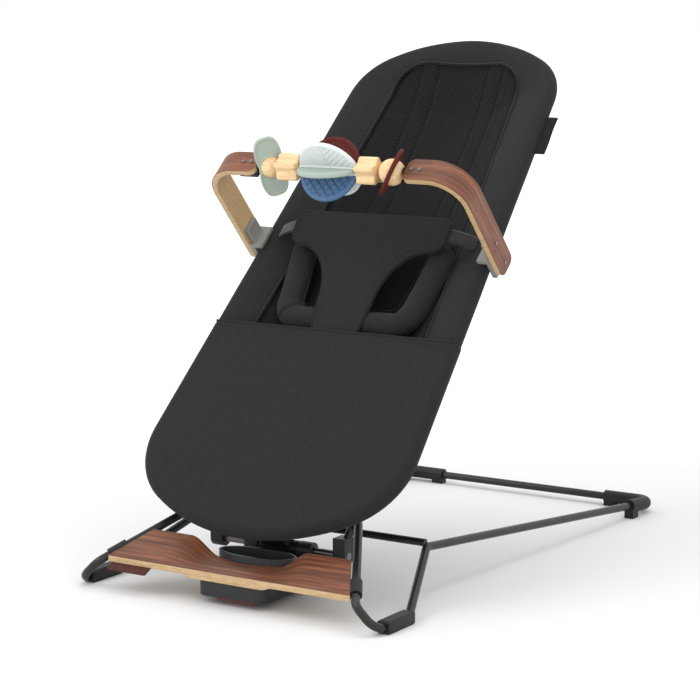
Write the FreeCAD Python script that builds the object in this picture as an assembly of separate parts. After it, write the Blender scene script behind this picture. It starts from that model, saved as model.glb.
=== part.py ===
"""Bouncer seat: one STEP file per sub-part, in millimetres.

Frame: origin on the floor under the middle of the base, +Z up, +Y towards the head end, +X to the side.
The seat and the toy bar are drawn flat in the seat plane, as x across, y along the seat from its foot
end, z out of the seat, and are then tilted into place by seat_place().
"""
import FreeCAD, Part
import math
import os
from FreeCAD import Vector as V

# Base: bent rod, its feet and the rear shoes
BASE_LENGTH = 810.0
ROD_D = 11.0
ROD_R = ROD_D / 2
FOOT_X = 227.0
FOOT_WALL = 3.2
FOOT_ROOF = 3.0
FOOT_FLOOR = 1.0
FOOT_LENGTH = 60.0
FOOT_SETBACK = 22.5
FOOT_EDGE_R = 3.0
SOLE_T = 1.5
SOLE_INSET = 1.0
FOOT_ROD_Z = SOLE_T + FOOT_FLOOR + ROD_R
FOOT_HEIGHT = FOOT_ROD_Z + ROD_R + FOOT_ROOF
REAR_X = 215.3
REAR_Z = 13.2
REAR_BEND_R = 22.0
SHOE_WALL = 4.0
SHOE_R = ROD_R + SHOE_WALL
SHOE_REACH_Y = 64.0
SHOE_INNER_X = 141.5
SHOE_LEG_LENGTH = 18.0
SHOE_LEG_HALF = 7.0
CROSS_BAR_R = 5.0
CROSS_BAR_RISE = 6.0
FRONT_BEND_R = 19.0
REAR_Y = BASE_LENGTH / 2 - SHOE_R
FRONT_Y = -BASE_LENGTH / 2 + ROD_R
KNEE = V(180.0, FRONT_Y + 198.0, 64.0)

# Spring arms: they rise from the front bend, pass the board and dip to the cross shaft
ARM_START = V(198.0, FRONT_Y, 35.1)
ARM_PEAK = V(109.5, FRONT_Y + 148.0, 109.7)
ARM_PEAK_BEND_R = 16.0
BOUNCE_GAP = 0.5
BOUNCE_AT = 11.0
SHAFT_Y = FRONT_Y + 132.0
SHAFT_Z = 55.0
SHAFT_R = 5.0
SOCKET_X = 96.0
SOCKET_WIDTH = 18.0
SOCKET_R = 11.0
SOCKET_TOP = 24.0

# Footboard: bentwood, flat at both ends, dipped at the middle
BOARD_FRONT_Y = FRONT_Y + 6.9
BOARD_DEPTH = 55.3
BOARD_FRONT_Z = 44.6
BOARD_RISE = 27.7
BOARD_MID_RISE = 4.0
BOARD_CORE_T = 8.0
BOARD_VENEER_T = 1.0
BOARD_LIP_T = 4.0
BOARD_LIP_HALF = 62.0
BOARD_WAVE_IN = 52.0
BOARD_WAVE_OUT = 112.0
BOARD_STATIONS = 25
BOARD_END_GAP = 1.2
CLIP_LENGTH = 26.0
CLIP_START = 8.0
CLIP_WALL = 2.5
TAG_X = -149.0
TAG_WIDTH = 62.0
TAG_DEPTH = 24.0
TAG_T = 2.4
TAG_FRONT_Y = FRONT_Y - 3.5
TAG_CORNER_R = 3.0

# Hub under the board, with its oval cup, base plate and lock slider
HUB_HALF = 52.0
HUB_FRONT_Y = FRONT_Y + 15.0
HUB_REAR_Y = FRONT_Y + 149.5
HUB_BOTTOM = 10.0
HUB_TOP = 34.5
HUB_WALL = 3.0
HUB_CORNER_R = 16.0
HUB_PLATE_T = 2.0
CUP_Y = FRONT_Y + 79.5
CUP_RX = 58.0
CUP_RY = 26.0
CUP_WALL = 4.0
CUP_TOP = 57.0
CUP_FLOOR = 22.0
CUP_CLEARANCE = 1.0
EAR_X = 31.0
EAR_WIDTH = 20.0
EAR_R = 11.0
EAR_CLEARANCE = 0.5
LOCK_X = 6.5
LOCK_LENGTH = 57.0
LOCK_TRAVEL = 8.0
LOCK_Y = FRONT_Y + 27.0
LOCK_WIDTH = 11.0
LOCK_BOTTOM = 6.5
LOCK_FLANGE = 2.5
SLIDE_CLEARANCE = 0.4
SCREW_R = 2.0
SCREW_HEAD_R = 3.6
SCREW_HEAD_T = 1.6
BOARD_SCREW_X = 31.2
BOARD_SCREW_SETBACK = 7.5
CUP_SCREW_GAP = 6.0
BOARD_SCREW_COVER = 3.0
HUB_SCREW_INSET = 12.0

# Seat plane, loop outline (the outside of the fabric hem) and loop tube
SEAT_TILT = 45.27
SEAT_FOOT_Y = FRONT_Y + 36.1
SEAT_FOOT_Z = 87.8
SEAT_LENGTH = 852.5
SEAT_FOOT_HALF = 209.8
SEAT_TAPER = 3.39
CROWN_R = 233.0
CROWN_CORNER_R = 90.0
FOOT_CROWN_R = 288.0
FOOT_CORNER_R = 110.0
TUBE_R = 8.0
HEM_T = 2.0
HEM_INNER = 30.0
HEM_SLIT = 1.2
FABRIC_GAP = 0.5
CROSS_TUBE_R = 6.0
SADDLE_WALL = 2.0
HINGE_BARREL_R = 9.0
BRACKET_WIDTH = 40.0
BRACKET_T = 14.0

# Soft parts of the seat
SLING_T = 4.0
SLING_SAG = 40.0
SLING_FIRST_S = 56.0
SLING_LAST_S = SEAT_LENGTH - 35.5
SLING_STATIONS = 13
MESH_TOP_S = SEAT_LENGTH - 44.5
MESH_BOTTOM_S = 270.0
MESH_TOP_HALF = 97.0
MESH_BOTTOM_HALF = 138.0
MESH_CORNER_R = 45.0
MESH_GAP = 0.6
FOOT_PANEL_S = 318.0
FOOT_PANEL_T = 3.0
INSERT_HALF = 103.0
INSERT_BOTTOM_S = 342.0
INSERT_TOP_S = 470.0
INSERT_BEND_R = 32.0
INSERT_R = 11.0
INSERT_H = -8.0
BIB_TOP_S = 498.0
BIB_BAR_S = 448.0
BIB_BOTTOM_S = 304.0
BIB_HALF = 126.0
BIB_STEM_HALF = 43.0
BIB_FLARE_R = 58.0
BIB_T = 4.0
BIB_CORNER_R = 12.0
BIB_BOTTOM_H = 3.0
BIB_TOP_H = 34.0
TAB_S = 480.0
TAB_WIDTH = 22.0
TAB_T = 2.0
TAB_OUT_X = 158.0
LABEL_S = SEAT_LENGTH - 171.5
LABEL_LENGTH = 66.0
LABEL_WIDTH = 17.0
LABEL_T = 1.0

# Toy bar: two bent plywood arms on side clamps, with the toys on a rod between them
BAR_S = 462.5
BAR_LEAN = 3.15
ARM_WIDTH = 36.0
ARM_CORE_T = 7.5
ARM_VENEER_T = 1.0
ARM_OUT_X = 200.0
ARM_TOP_H = 168.0
ARM_BOTTOM_H = -14.0
ARM_BEND_R = 50.0
ARM_END_X = 115.0
ARM_END_R = 10.0
CLAMP_WIDTH = 24.0
CLAMP_JAW_WIDTH = 36.0
CLAMP_IN_X = 171.0
CLAMP_T = 6.0
CLAMP_TOP_H = 42.0
CLAMP_CLEARANCE = 1.7
CLAMP_SCREW_R = 1.6
CLAMP_SCREW_HEAD_R = 2.6
CLAMP_SCREW_HEAD_T = 0.7
CLAMP_SCREW_BITE = 4.0
ROD_AXIS_H = 160.5
TOY_ROD_R = 3.2
ROD_END_GAP = 0.2
BORE_CLEARANCE = 0.06
LUG_T = 3.0
LUG_R = 8.0
PLATE_T = 4.0
PLATE_OUT_X = 147.0
PLATE_MARGIN = 2.0
BOLT_X = (125.0, 137.0)
BOLT_R = 1.7
BOLT_HEAD_R = 2.9
BOLT_HEAD_T = 1.4
BOLT_BITE = 1.0
CLAMP_SCREW_H = (-2.0, 35.0)

# Toys, along the rod
WING_X = -96.6
WING_BALL_R = 14.7
WING_LOBE_R = 18.0
WING_LOBE_AT = 25.0
WING_WAIST = 24.0
WING_T = 5.0
WING_PITCH = 45.0
WING_TURN = -17.3
LEFT_BEAD = (-81.0, -48.5)
RIGHT_BEAD = (44.0, 73.0)
BEAD_LOBES = 5
BEAD_TIP_R = 23.0
BEAD_VALLEY_R = 13.0
BEAD_TIP_ROUND = 4.5
BEAD_VALLEY_ROUND = 9.0
BEAD_EDGE_ROUND = 2.0
FIN_X = -2.0
FIN_R = 44.5
FIN_T = 7.0
FIN_COUNT = 6
FIN_FIRST_ANGLE = 4.2
FIN_EDGE_ROUND = 2.4
FIN_HUB_R = 9.0
DISC_BALL_X = 92.5
DISC_BALL_R = 17.5
DISC_R = 33.0
DISC_T = 5.0
DISC_TILT = 34.0
DISC_EDGE_ROUND = 2.25

LENGTH_TOLERANCE = 0.01

RIGHT = 1
LEFT = -1
SIDES = {"left": LEFT, "right": RIGHT}


def box(x0, x1, y0, y1, z0, z1):
    """Box between two corners."""
    return Part.makeBox(x1 - x0, y1 - y0, z1 - z0, V(x0, y0, z0))


def cylinder_x(x0, x1, y, z, radius):
    """Cylinder along X."""
    return Part.makeCylinder(radius, x1 - x0, V(x0, y, z), V(1, 0, 0))


def cylinder_z(x, y, z0, z1, radius):
    """Cylinder along Z."""
    return Part.makeCylinder(radius, z1 - z0, V(x, y, z0), V(0, 0, 1))


def fuse(shapes):
    """One shape from several that touch or overlap."""
    whole = shapes[0]
    for shape in shapes[1:]:
        whole = whole.fuse(shape)
    return whole.removeSplitter()


def mirrored(shape, side):
    """The shape itself on the right, its mirror image on the left."""
    if side == LEFT:
        return shape.mirror(V(0, 0, 0), V(1, 0, 0))
    return shape


def filleted_path(points, bend_r):
    """Wire of straight runs joined by tangent arcs at every inner point."""
    edges = []
    start = points[0]
    for before, corner, after in zip(points, points[1:], points[2:]):
        into = (corner - before).normalize()
        out = (after - corner).normalize()
        half_turn = into.getAngle(out) / 2
        reach = bend_r * math.tan(half_turn)
        arc_start = corner - into * reach
        arc_end = corner + out * reach
        centre_way = (out - into).normalize()
        centre = corner + centre_way * (bend_r / math.cos(half_turn))
        middle = centre - centre_way * bend_r
        edges.append(Part.makeLine(start, arc_start))
        edges.append(Part.Arc(arc_start, middle, arc_end).toShape())
        start = arc_end
    edges.append(Part.makeLine(start, points[-1]))
    return Part.Wire(edges)


def rounded_outline(points, radii):
    """Closed flat wire with a fillet of its own radius at every corner; radius 0 keeps it sharp."""
    edges = []
    stops = []
    for index, corner in enumerate(points):
        into = (corner - points[index - 1]).normalize()
        out = (points[(index + 1) % len(points)] - corner).normalize()
        if radii[index] == 0:
            stops.append((corner, None, corner))
            continue
        half_turn = into.getAngle(out) / 2
        reach = radii[index] * math.tan(half_turn)
        centre_way = (out - into).normalize()
        middle = corner + centre_way * (radii[index] / math.cos(half_turn) - radii[index])
        stops.append((corner - into * reach, middle, corner + out * reach))
    for index, (start, middle, end) in enumerate(stops):
        if middle:
            edges.append(Part.Arc(start, middle, end).toShape())
        edges.append(Part.makeLine(end, stops[(index + 1) % len(stops)][0]))
    return Part.Wire(edges)


def bent_rod(points, bend_r, radius):
    """Round rod along a filleted path."""
    path = filleted_path(points, bend_r)
    circle = Part.makeCircle(radius, points[0], points[1] - points[0])
    return path.makePipeShell([Part.Wire(circle)], True, False)


def fillet_where(shape, radius, wanted):
    """Fillet the edges for which wanted(edge) is true."""
    return shape.makeFillet(radius, [edge for edge in shape.Edges if wanted(edge)])


def seat_place(shape):
    """Tilt a shape drawn flat in the seat plane into the seat's place."""
    tilt = FreeCAD.Rotation(V(1, 0, 0), SEAT_TILT)
    placed = shape.copy()
    placed.Placement = FreeCAD.Placement(V(0, SEAT_FOOT_Y, SEAT_FOOT_Z), tilt).multiply(shape.Placement)
    return placed


# ---------------------------------------------------------------- base

def side_rod_points():
    """Rod axis from the rear corner, over the knee and the foot, to the front bend and the arm's start."""
    rear = V(REAR_X, REAR_Y, REAR_Z)
    rail_way = (KNEE - rear).normalize()
    rail_start = rear + rail_way * SHOE_REACH_Y
    foot_rear = V(FOOT_X, FRONT_Y + FOOT_SETBACK - ROD_R + FOOT_LENGTH, FOOT_ROD_Z)
    front = V(FOOT_X, FRONT_Y, FOOT_ROD_Z)
    return [rail_start, KNEE, foot_rear, front, ARM_START, bounce_point()]


def arm_way():
    """Direction of the straight part of the right spring arm."""
    return (ARM_PEAK - ARM_START).normalize()


def bounce_point():
    """Centre of the cut between the base rod and the right spring arm."""
    return ARM_START + arm_way() * BOUNCE_AT


def base_rod(side):
    """One side of the base: rail, knee, foot stretch and front bend, as one bent rod."""
    return mirrored(bent_rod(side_rod_points(), FRONT_BEND_R, ROD_R), side)


def rear_path_points():
    """Rear tube axis, from inside one shoe round both corners."""
    right_corner = V(REAR_X, REAR_Y, REAR_Z)
    rail_start = side_rod_points()[0]
    end = rail_start + (right_corner - rail_start).normalize() * BOUNCE_GAP
    left_corner = V(-right_corner.x, right_corner.y, right_corner.z)
    return [end, right_corner, left_corner, V(-end.x, end.y, end.z)]


def rear_tube():
    """Rear cross tube with both corner bends."""
    return bent_rod(rear_path_points(), REAR_BEND_R, ROD_R)


def rear_shoe(side, rods):
    """Sleeve round a rear corner, with a leg at its front end."""
    corner = V(REAR_X, REAR_Y, REAR_Z)
    way = (side_rod_points()[0] - corner).normalize()
    front = corner + way * (SHOE_REACH_Y - SHOE_LEG_LENGTH / 2 + BOUNCE_AT)
    sleeve = bent_rod([front, corner, V(SHOE_INNER_X, REAR_Y, REAR_Z)], REAR_BEND_R, SHOE_R)
    leg_top = front.z
    leg = box(front.x - SHOE_LEG_HALF, front.x + SHOE_LEG_HALF, front.y, front.y + SHOE_LEG_LENGTH,
              SOLE_T, leg_top)
    heel = box(SHOE_INNER_X, SHOE_INNER_X + SHOE_LEG_LENGTH, REAR_Y - SHOE_LEG_HALF, REAR_Y + SHOE_LEG_HALF,
               SOLE_T, REAR_Z)
    shoe = mirrored(fuse([sleeve, leg, heel]), side)
    for rod in rods:
        shoe = shoe.cut(rod)
    return shoe


def front_foot(side, rod):
    """Sleeve on the foot stretch of the rod, with a flat underside."""
    half = ROD_R + FOOT_WALL
    front_y = FRONT_Y + FOOT_SETBACK - ROD_R
    body = box(FOOT_X - half, FOOT_X + half, front_y, front_y + FOOT_LENGTH, SOLE_T, FOOT_HEIGHT)
    top_edges = lambda edge: edge.BoundBox.ZMin > FOOT_ROD_Z
    body = fillet_where(body, FOOT_EDGE_R, top_edges)
    return mirrored(body, side).cut(rod)


def foot_soles():
    """Rubber pads under the two front feet, the rear legs and the rear heels."""
    half = ROD_R + FOOT_WALL
    front_y = FRONT_Y + FOOT_SETBACK - ROD_R
    corner = V(REAR_X, REAR_Y, REAR_Z)
    way = (side_rod_points()[0] - corner).normalize()
    leg = corner + way * (SHOE_REACH_Y - SHOE_LEG_LENGTH / 2 + BOUNCE_AT)
    pads = [box(FOOT_X - half + SOLE_INSET, FOOT_X + half - SOLE_INSET, front_y + SOLE_INSET,
                front_y + FOOT_LENGTH - SOLE_INSET, 0, SOLE_T),
            box(leg.x - SHOE_LEG_HALF, leg.x + SHOE_LEG_HALF, leg.y, leg.y + SHOE_LEG_LENGTH, 0, SOLE_T),
            box(SHOE_INNER_X, SHOE_INNER_X + SHOE_LEG_LENGTH, REAR_Y - SHOE_LEG_HALF, REAR_Y + SHOE_LEG_HALF,
                0, SOLE_T)]
    return Part.makeCompound([mirrored(pad, side) for side in SIDES.values() for pad in pads])


def front_cross_bar(rods):
    """Straight bar between the two knees, coped to the rods."""
    bar = cylinder_x(-KNEE.x, KNEE.x, KNEE.y - ROD_R / 2, KNEE.z + CROSS_BAR_RISE, CROSS_BAR_R)
    for rod in rods:
        bar = bar.cut(rod)
    return max(bar.Solids, key=lambda solid: solid.Volume)


# ---------------------------------------------------------------- bounce carrier

def spring_arm(side):
    """Arm from the bounce cut up past the board, then down into its socket."""
    start = bounce_point() + arm_way() * BOUNCE_GAP
    socket = V(SOCKET_X, SHAFT_Y, SHAFT_Z + SOCKET_R)
    return mirrored(bent_rod([start, ARM_PEAK, socket], ARM_PEAK_BEND_R, ROD_R), side)


def arm_socket(side, arm):
    """Block that joins a spring arm to the cross shaft."""
    half = SOCKET_WIDTH / 2
    round_part = cylinder_x(SOCKET_X - half, SOCKET_X + half, SHAFT_Y, SHAFT_Z, SOCKET_R)
    top = box(SOCKET_X - half, SOCKET_X + half, SHAFT_Y - SOCKET_R, SHAFT_Y + SOCKET_R,
              SHAFT_Z, SHAFT_Z + SOCKET_TOP)
    block = mirrored(fuse([round_part, top]), side)
    return block.cut(arm).cut(cross_shaft())


def cross_shaft():
    """Shaft that carries the hub and the seat hinge, from socket to socket."""
    half = SOCKET_X + SOCKET_WIDTH / 2
    return cylinder_x(-half, half, SHAFT_Y, SHAFT_Z, SHAFT_R)


def board_rise(x):
    """Height gained from the front edge to the rear edge of the board at x."""
    share = (abs(x) - BOARD_WAVE_IN) / (BOARD_WAVE_OUT - BOARD_WAVE_IN)
    share = min(max(share, 0.0), 1.0)
    blend = (1 - math.cos(math.pi * share)) / 2
    return BOARD_MID_RISE + (BOARD_RISE - BOARD_MID_RISE) * blend


def board_layer(top_drop, thickness, lip=0.0):
    """One layer of the board as a loft over stations in X; lip thickens the middle of the front edge."""
    half = ARM_START.x
    sections = []
    for index in range(BOARD_STATIONS):
        x = -half + 2 * half * index / (BOARD_STATIONS - 1)
        rise = board_rise(x)
        front_z = BOARD_FRONT_Z - top_drop
        rear_y = BOARD_FRONT_Y + BOARD_DEPTH
        lip_here = lip if abs(x) < BOARD_LIP_HALF else 0.0
        corners = [V(x, BOARD_FRONT_Y, front_z), V(x, rear_y, front_z + rise),
                   V(x, rear_y, front_z + rise - thickness),
                   V(x, BOARD_FRONT_Y, front_z - thickness - lip_here)]
        sections.append(Part.makePolygon(corners + corners[:1]))
    return Part.makeLoft(sections, True, True)


def board_outline():
    """Prism that trims the board: ends parallel to the arms, and a round notch behind for the cup."""
    way = arm_way()
    gap = (ROD_R + BOARD_END_GAP) / math.cos(math.atan2(abs(way.x), way.y))
    ends = []
    for y in (BOARD_FRONT_Y, BOARD_FRONT_Y + BOARD_DEPTH):
        ends.append(V(ARM_START.x + way.x / way.y * (y - ARM_START.y) - gap, y, 0))
    corners = [V(-ends[0].x, ends[0].y, 0), ends[0], ends[1], V(-ends[1].x, ends[1].y, 0)]
    prism = Part.Face(Part.makePolygon(corners + corners[:1])).extrude(V(0, 0, 2 * SHAFT_Z))
    notch = oval(CUP_RX + CUP_CLEARANCE, CUP_RY + CUP_CLEARANCE, 0, 2 * SHAFT_Z)
    return prism.cut(notch)


def oval(rx, ry, z0, z1):
    """Oval prism round the cup's centre."""
    curve = Part.Ellipse(V(0, CUP_Y, z0), rx, ry).toShape()
    return Part.Face(Part.Wire(curve)).extrude(V(0, 0, z1 - z0))


def board_screws():
    """Four screws up through the hub's roof into the board."""
    screws = []
    for x in (-BOARD_SCREW_X, BOARD_SCREW_X):
        for y in (HUB_FRONT_Y + BOARD_SCREW_SETBACK, CUP_Y - CUP_RY - CUP_SCREW_GAP):
            shank = cylinder_z(x, y, HUB_TOP - HUB_WALL, BOARD_FRONT_Z - BOARD_SCREW_COVER, SCREW_R)
            head = cylinder_z(x, y, HUB_TOP - HUB_WALL - SCREW_HEAD_T, HUB_TOP - HUB_WALL, SCREW_HEAD_R)
            screws.append(fuse([shank, head]))
    return Part.makeCompound(screws)


def board_clip(side, arm):
    """Black clip that holds one end of the board to its arm."""
    way = arm_way()
    start = bounce_point() + way * (BOUNCE_GAP + CLIP_START)
    sleeve = Part.makeCylinder(ROD_R + CLIP_WALL, CLIP_LENGTH, start, way)
    clip = mirrored(sleeve, side).cut(arm)
    for layer in (board_layer(0, BOARD_VENEER_T), board_layer(BOARD_VENEER_T, BOARD_CORE_T)):
        clip = clip.cut(layer.common(board_outline()))
    return max(clip.Solids, key=lambda solid: solid.Volume)


def leather_tag():
    """Flat leather tag that hangs out under the left end of the board's front edge."""
    slope = math.atan2(BOARD_RISE, BOARD_DEPTH)
    tag = box(-TAG_WIDTH / 2, TAG_WIDTH / 2, 0, TAG_DEPTH, 0, TAG_T)
    upright = lambda edge: edge.BoundBox.ZLength > TAG_T / 2
    tag = fillet_where(tag, TAG_CORNER_R, upright)
    thick = BOARD_CORE_T + BOARD_VENEER_T + TAG_T / math.cos(slope)
    drop = (TAG_FRONT_Y - BOARD_FRONT_Y) * BOARD_RISE / BOARD_DEPTH
    tag.Placement = FreeCAD.Placement(V(TAG_X, TAG_FRONT_Y, BOARD_FRONT_Z - thick + drop),
                                      FreeCAD.Rotation(V(1, 0, 0), math.degrees(slope)))
    return tag


def hub_block(inset, z0, z1):
    """Hub's plan outline, shrunk by inset, between two heights."""
    block = box(-HUB_HALF + inset, HUB_HALF - inset, HUB_FRONT_Y + inset, HUB_REAR_Y - inset, z0, z1)
    upright = lambda edge: edge.BoundBox.ZLength > (z1 - z0) / 2
    return fillet_where(block, HUB_CORNER_R - inset, upright)


def hub_housing(screws, board):
    """Hollow hub with its oval cup, two ears on the cross shaft, and a seat for the board's front lip."""
    plate_top = HUB_BOTTOM + HUB_PLATE_T
    shell = hub_block(0, plate_top, HUB_TOP).cut(hub_block(HUB_WALL, plate_top, HUB_TOP - HUB_WALL))
    cup = oval(CUP_RX, CUP_RY, CUP_FLOOR - CUP_WALL, CUP_TOP)
    hollow = oval(CUP_RX - CUP_WALL, CUP_RY - CUP_WALL, CUP_FLOOR, CUP_TOP)
    ears = []
    for side in SIDES.values():
        round_part = cylinder_x(EAR_X, EAR_X + EAR_WIDTH, SHAFT_Y, SHAFT_Z, EAR_R)
        post = box(EAR_X, EAR_X + EAR_WIDTH, SHAFT_Y - EAR_R, SHAFT_Y + EAR_R, HUB_TOP - HUB_WALL, SHAFT_Z)
        ears.append(mirrored(fuse([round_part, post]), side))
    body = fuse([shell, cup] + ears)
    return body.cut(hollow).cut(cross_shaft()).cut(screws).cut(board)


def lock_slider():
    """Red slider in the hub's base plate, with a flange that keeps it in its slot."""
    x0 = LOCK_X - LOCK_LENGTH / 2
    plate_top = HUB_BOTTOM + HUB_PLATE_T
    flange_bottom = plate_top + SLIDE_CLEARANCE
    tab = box(x0, x0 + LOCK_LENGTH, LOCK_Y - LOCK_WIDTH / 2, LOCK_Y + LOCK_WIDTH / 2,
              LOCK_BOTTOM, flange_bottom)
    flange = box(x0 - LOCK_FLANGE, x0 + LOCK_LENGTH + LOCK_FLANGE, LOCK_Y - LOCK_WIDTH / 2 - LOCK_FLANGE,
                 LOCK_Y + LOCK_WIDTH / 2 + LOCK_FLANGE, flange_bottom, flange_bottom + LOCK_FLANGE)
    return fuse([tab, flange])


def hub_base_plate(screws):
    """Plate that closes the hub, with the slider's slot."""
    plate = hub_block(0, HUB_BOTTOM, HUB_BOTTOM + HUB_PLATE_T)
    x0 = LOCK_X - LOCK_LENGTH / 2 - LOCK_TRAVEL - SLIDE_CLEARANCE
    x1 = LOCK_X + LOCK_LENGTH / 2 + SLIDE_CLEARANCE
    half = LOCK_WIDTH / 2 + SLIDE_CLEARANCE
    slot = box(x0, x1, LOCK_Y - half, LOCK_Y + half, 0, HUB_TOP)
    return plate.cut(slot).cut(screws)


def hub_screws():
    """Four countersunk screws in the base plate's corners."""
    screws = []
    for x in (-HUB_HALF + HUB_SCREW_INSET, HUB_HALF - HUB_SCREW_INSET):
        for y in (HUB_FRONT_Y + HUB_SCREW_INSET, HUB_REAR_Y - HUB_SCREW_INSET):
            head = cylinder_z(x, y, HUB_BOTTOM, HUB_BOTTOM + HUB_PLATE_T, SCREW_HEAD_R)
            screws.append(head)
    return Part.makeCompound(screws)


# ---------------------------------------------------------------- seat

def corner_centre(corner_r, crown_centre, crown_r, sign):
    """Centre of the loop's corner arc, tangent to the slanted side and to the crown."""
    sine = math.sin(math.radians(SEAT_TAPER))
    cosine = math.cos(math.radians(SEAT_TAPER))
    reach = SEAT_FOOT_HALF * cosine - corner_r
    gap = crown_r - corner_r
    middle = reach * sine + crown_centre * cosine ** 2
    rest = reach ** 2 + (crown_centre ** 2 - gap ** 2) * cosine ** 2
    along = middle + sign * math.sqrt(middle ** 2 - rest)
    return V((reach - along * sine) / cosine, along, 0)


def loop_wire(inset, h=0.0):
    """Closed outline of the seat, inset from the outside of the hem."""
    taper = math.radians(SEAT_TAPER)
    outward = V(math.cos(taper), math.sin(taper), 0)
    rows = ((CROWN_CORNER_R, SEAT_LENGTH - CROWN_R, CROWN_R, 1),
            (FOOT_CORNER_R, FOOT_CROWN_R, FOOT_CROWN_R, -1))
    ends = []
    for corner_r, crown_centre, crown_r, sign in rows:
        centre = corner_centre(corner_r, crown_centre, crown_r, sign)
        to_crown = (centre - V(0, crown_centre, 0)).normalize()
        radius = corner_r - inset
        side = centre + outward * radius
        middle = centre + (outward + to_crown).normalize() * radius
        crown = centre + to_crown * radius
        apex = V(0, crown_centre + sign * (crown_r - inset), 0)
        ends.append((side, middle, crown, apex))
    top, foot = ends
    flip = lambda point: V(-point.x, point.y, 0)
    edges = [Part.makeLine(foot[0], top[0]), Part.Arc(top[0], top[1], top[2]).toShape(),
             Part.Arc(top[2], top[3], flip(top[2])).toShape(),
             Part.Arc(flip(top[2]), flip(top[1]), flip(top[0])).toShape(),
             Part.makeLine(flip(top[0]), flip(foot[0])),
             Part.Arc(flip(foot[0]), flip(foot[1]), flip(foot[2])).toShape(),
             Part.Arc(flip(foot[2]), foot[3], foot[2]).toShape(),
             Part.Arc(foot[2], foot[1], foot[0]).toShape()]
    wire = Part.Wire(edges)
    wire.translate(V(0, 0, h))
    return wire


def loop_plate(inset, h0, h1):
    """Flat plate with the seat's outline, inset from the hem."""
    return Part.Face(loop_wire(inset, h0)).extrude(V(0, 0, h1 - h0))


def loop_half_width(s, inset):
    """Half of the seat's width at s, inside an inset outline."""
    strip = Part.makeLine(V(0, s, 0), V(2 * SEAT_FOOT_HALF, s, 0))
    gap, pairs, _ = loop_wire(inset).distToShape(strip)
    return pairs[0][0].x


def tube_inset():
    """Inset of the loop tube's axis from the outside of the hem."""
    return HEM_T + TUBE_R


def loop_tube(radius):
    """Solid of a given radius along the loop's axis."""
    path = loop_wire(tube_inset())
    first = path.Edges[0]
    start = first.valueAt(first.FirstParameter)
    circle = Part.makeCircle(radius, start, first.tangentAt(first.FirstParameter))
    return path.makePipeShell([Part.Wire(circle)], True, False)


def cover_hem():
    """Fabric sleeve round the loop tube, with the slit of its seam inside and room for the cross tube."""
    thick = TUBE_R + HEM_T
    ring = loop_plate(0, -thick, thick).cut(loop_plate(HEM_INNER, -thick, thick))
    ring = ring.cut(loop_tube(TUBE_R + FABRIC_GAP))
    ring = ring.cut(loop_plate(tube_inset(), -HEM_SLIT / 2, HEM_SLIT / 2))
    half = SEAT_FOOT_HALF - tube_inset()
    return ring.cut(cylinder_x(-half, half, shaft_in_seat().y, 0, CROSS_TUBE_R + FABRIC_GAP))


def sag(s):
    """Depth of the sling below the loop plane at s."""
    return SLING_SAG * math.sin(math.pi * s / SEAT_LENGTH) ** 0.6


def whole_sling():
    """Sling as a loft through crescents."""
    sections = []
    for index in range(SLING_STATIONS):
        share = (1 - math.cos(math.pi * index / (SLING_STATIONS - 1))) / 2
        s = SLING_FIRST_S + (SLING_LAST_S - SLING_FIRST_S) * share
        half = loop_half_width(s, HEM_INNER + FABRIC_GAP)
        depth = sag(s)
        upper = Part.Arc(V(-half, s, 0), V(0, s, -depth), V(half, s, 0)).toShape()
        lower = Part.Arc(V(half, s, -SLING_T), V(0, s, -depth - SLING_T), V(-half, s, -SLING_T)).toShape()
        right = Part.makeLine(V(half, s, 0), V(half, s, -SLING_T))
        left = Part.makeLine(V(-half, s, -SLING_T), V(-half, s, 0))
        sections.append(Part.Wire([upper, right, lower, left]))
    sling = Part.makeLoft(sections, True, False)
    return sling.common(loop_plate(HEM_INNER + FABRIC_GAP, -2 * SLING_SAG, SLING_T))


def mesh_prism(grow):
    """Prism with the mesh panel's outline, grown outwards."""
    bottom = MESH_BOTTOM_HALF + grow
    top = MESH_TOP_HALF + grow
    low = -2 * SLING_SAG
    corners = [V(-bottom, MESH_BOTTOM_S - grow, low), V(bottom, MESH_BOTTOM_S - grow, low),
               V(top, MESH_TOP_S + grow, low), V(-top, MESH_TOP_S + grow, low)]
    outline = rounded_outline(corners, (0, 0, MESH_CORNER_R + grow, MESH_CORNER_R + grow))
    return Part.Face(outline).extrude(V(0, 0, -2 * low))


def shaft_in_seat():
    """Cross shaft's axis, as (0, s, h) in the seat plane."""
    sine = math.sin(math.radians(SEAT_TILT))
    cosine = math.cos(math.radians(SEAT_TILT))
    back = SHAFT_Y - SEAT_FOOT_Y
    rise = SHAFT_Z - SEAT_FOOT_Z
    return V(0, back * cosine + rise * sine, rise * cosine - back * sine)


def seat_cross_tube(loop):
    """Tube across the foot end of the loop, coped to it, straight above the hinge."""
    s = shaft_in_seat().y
    half = loop_half_width(s, tube_inset())
    return cylinder_x(-half, half, s, 0, CROSS_TUBE_R).cut(loop)


def hinge_bracket(cross_tube):
    """Bracket from the hinge barrel up to the seat's cross tube."""
    shaft = shaft_in_seat()
    half = BRACKET_WIDTH / 2
    barrel_half = EAR_X - EAR_CLEARANCE
    barrel = cylinder_x(-barrel_half, barrel_half, shaft.y, shaft.z, HINGE_BARREL_R)
    post = box(-half, half, shaft.y - BRACKET_T / 2, shaft.y + BRACKET_T / 2, shaft.z, 0)
    saddle = cylinder_x(-half, half, shaft.y, 0, CROSS_TUBE_R + SADDLE_WALL)
    bore = cylinder_x(-barrel_half, barrel_half, shaft.y, shaft.z, SHAFT_R + BORE_CLEARANCE)
    return fuse([barrel, post, saddle]).cut(bore).cut(cross_tube)


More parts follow.
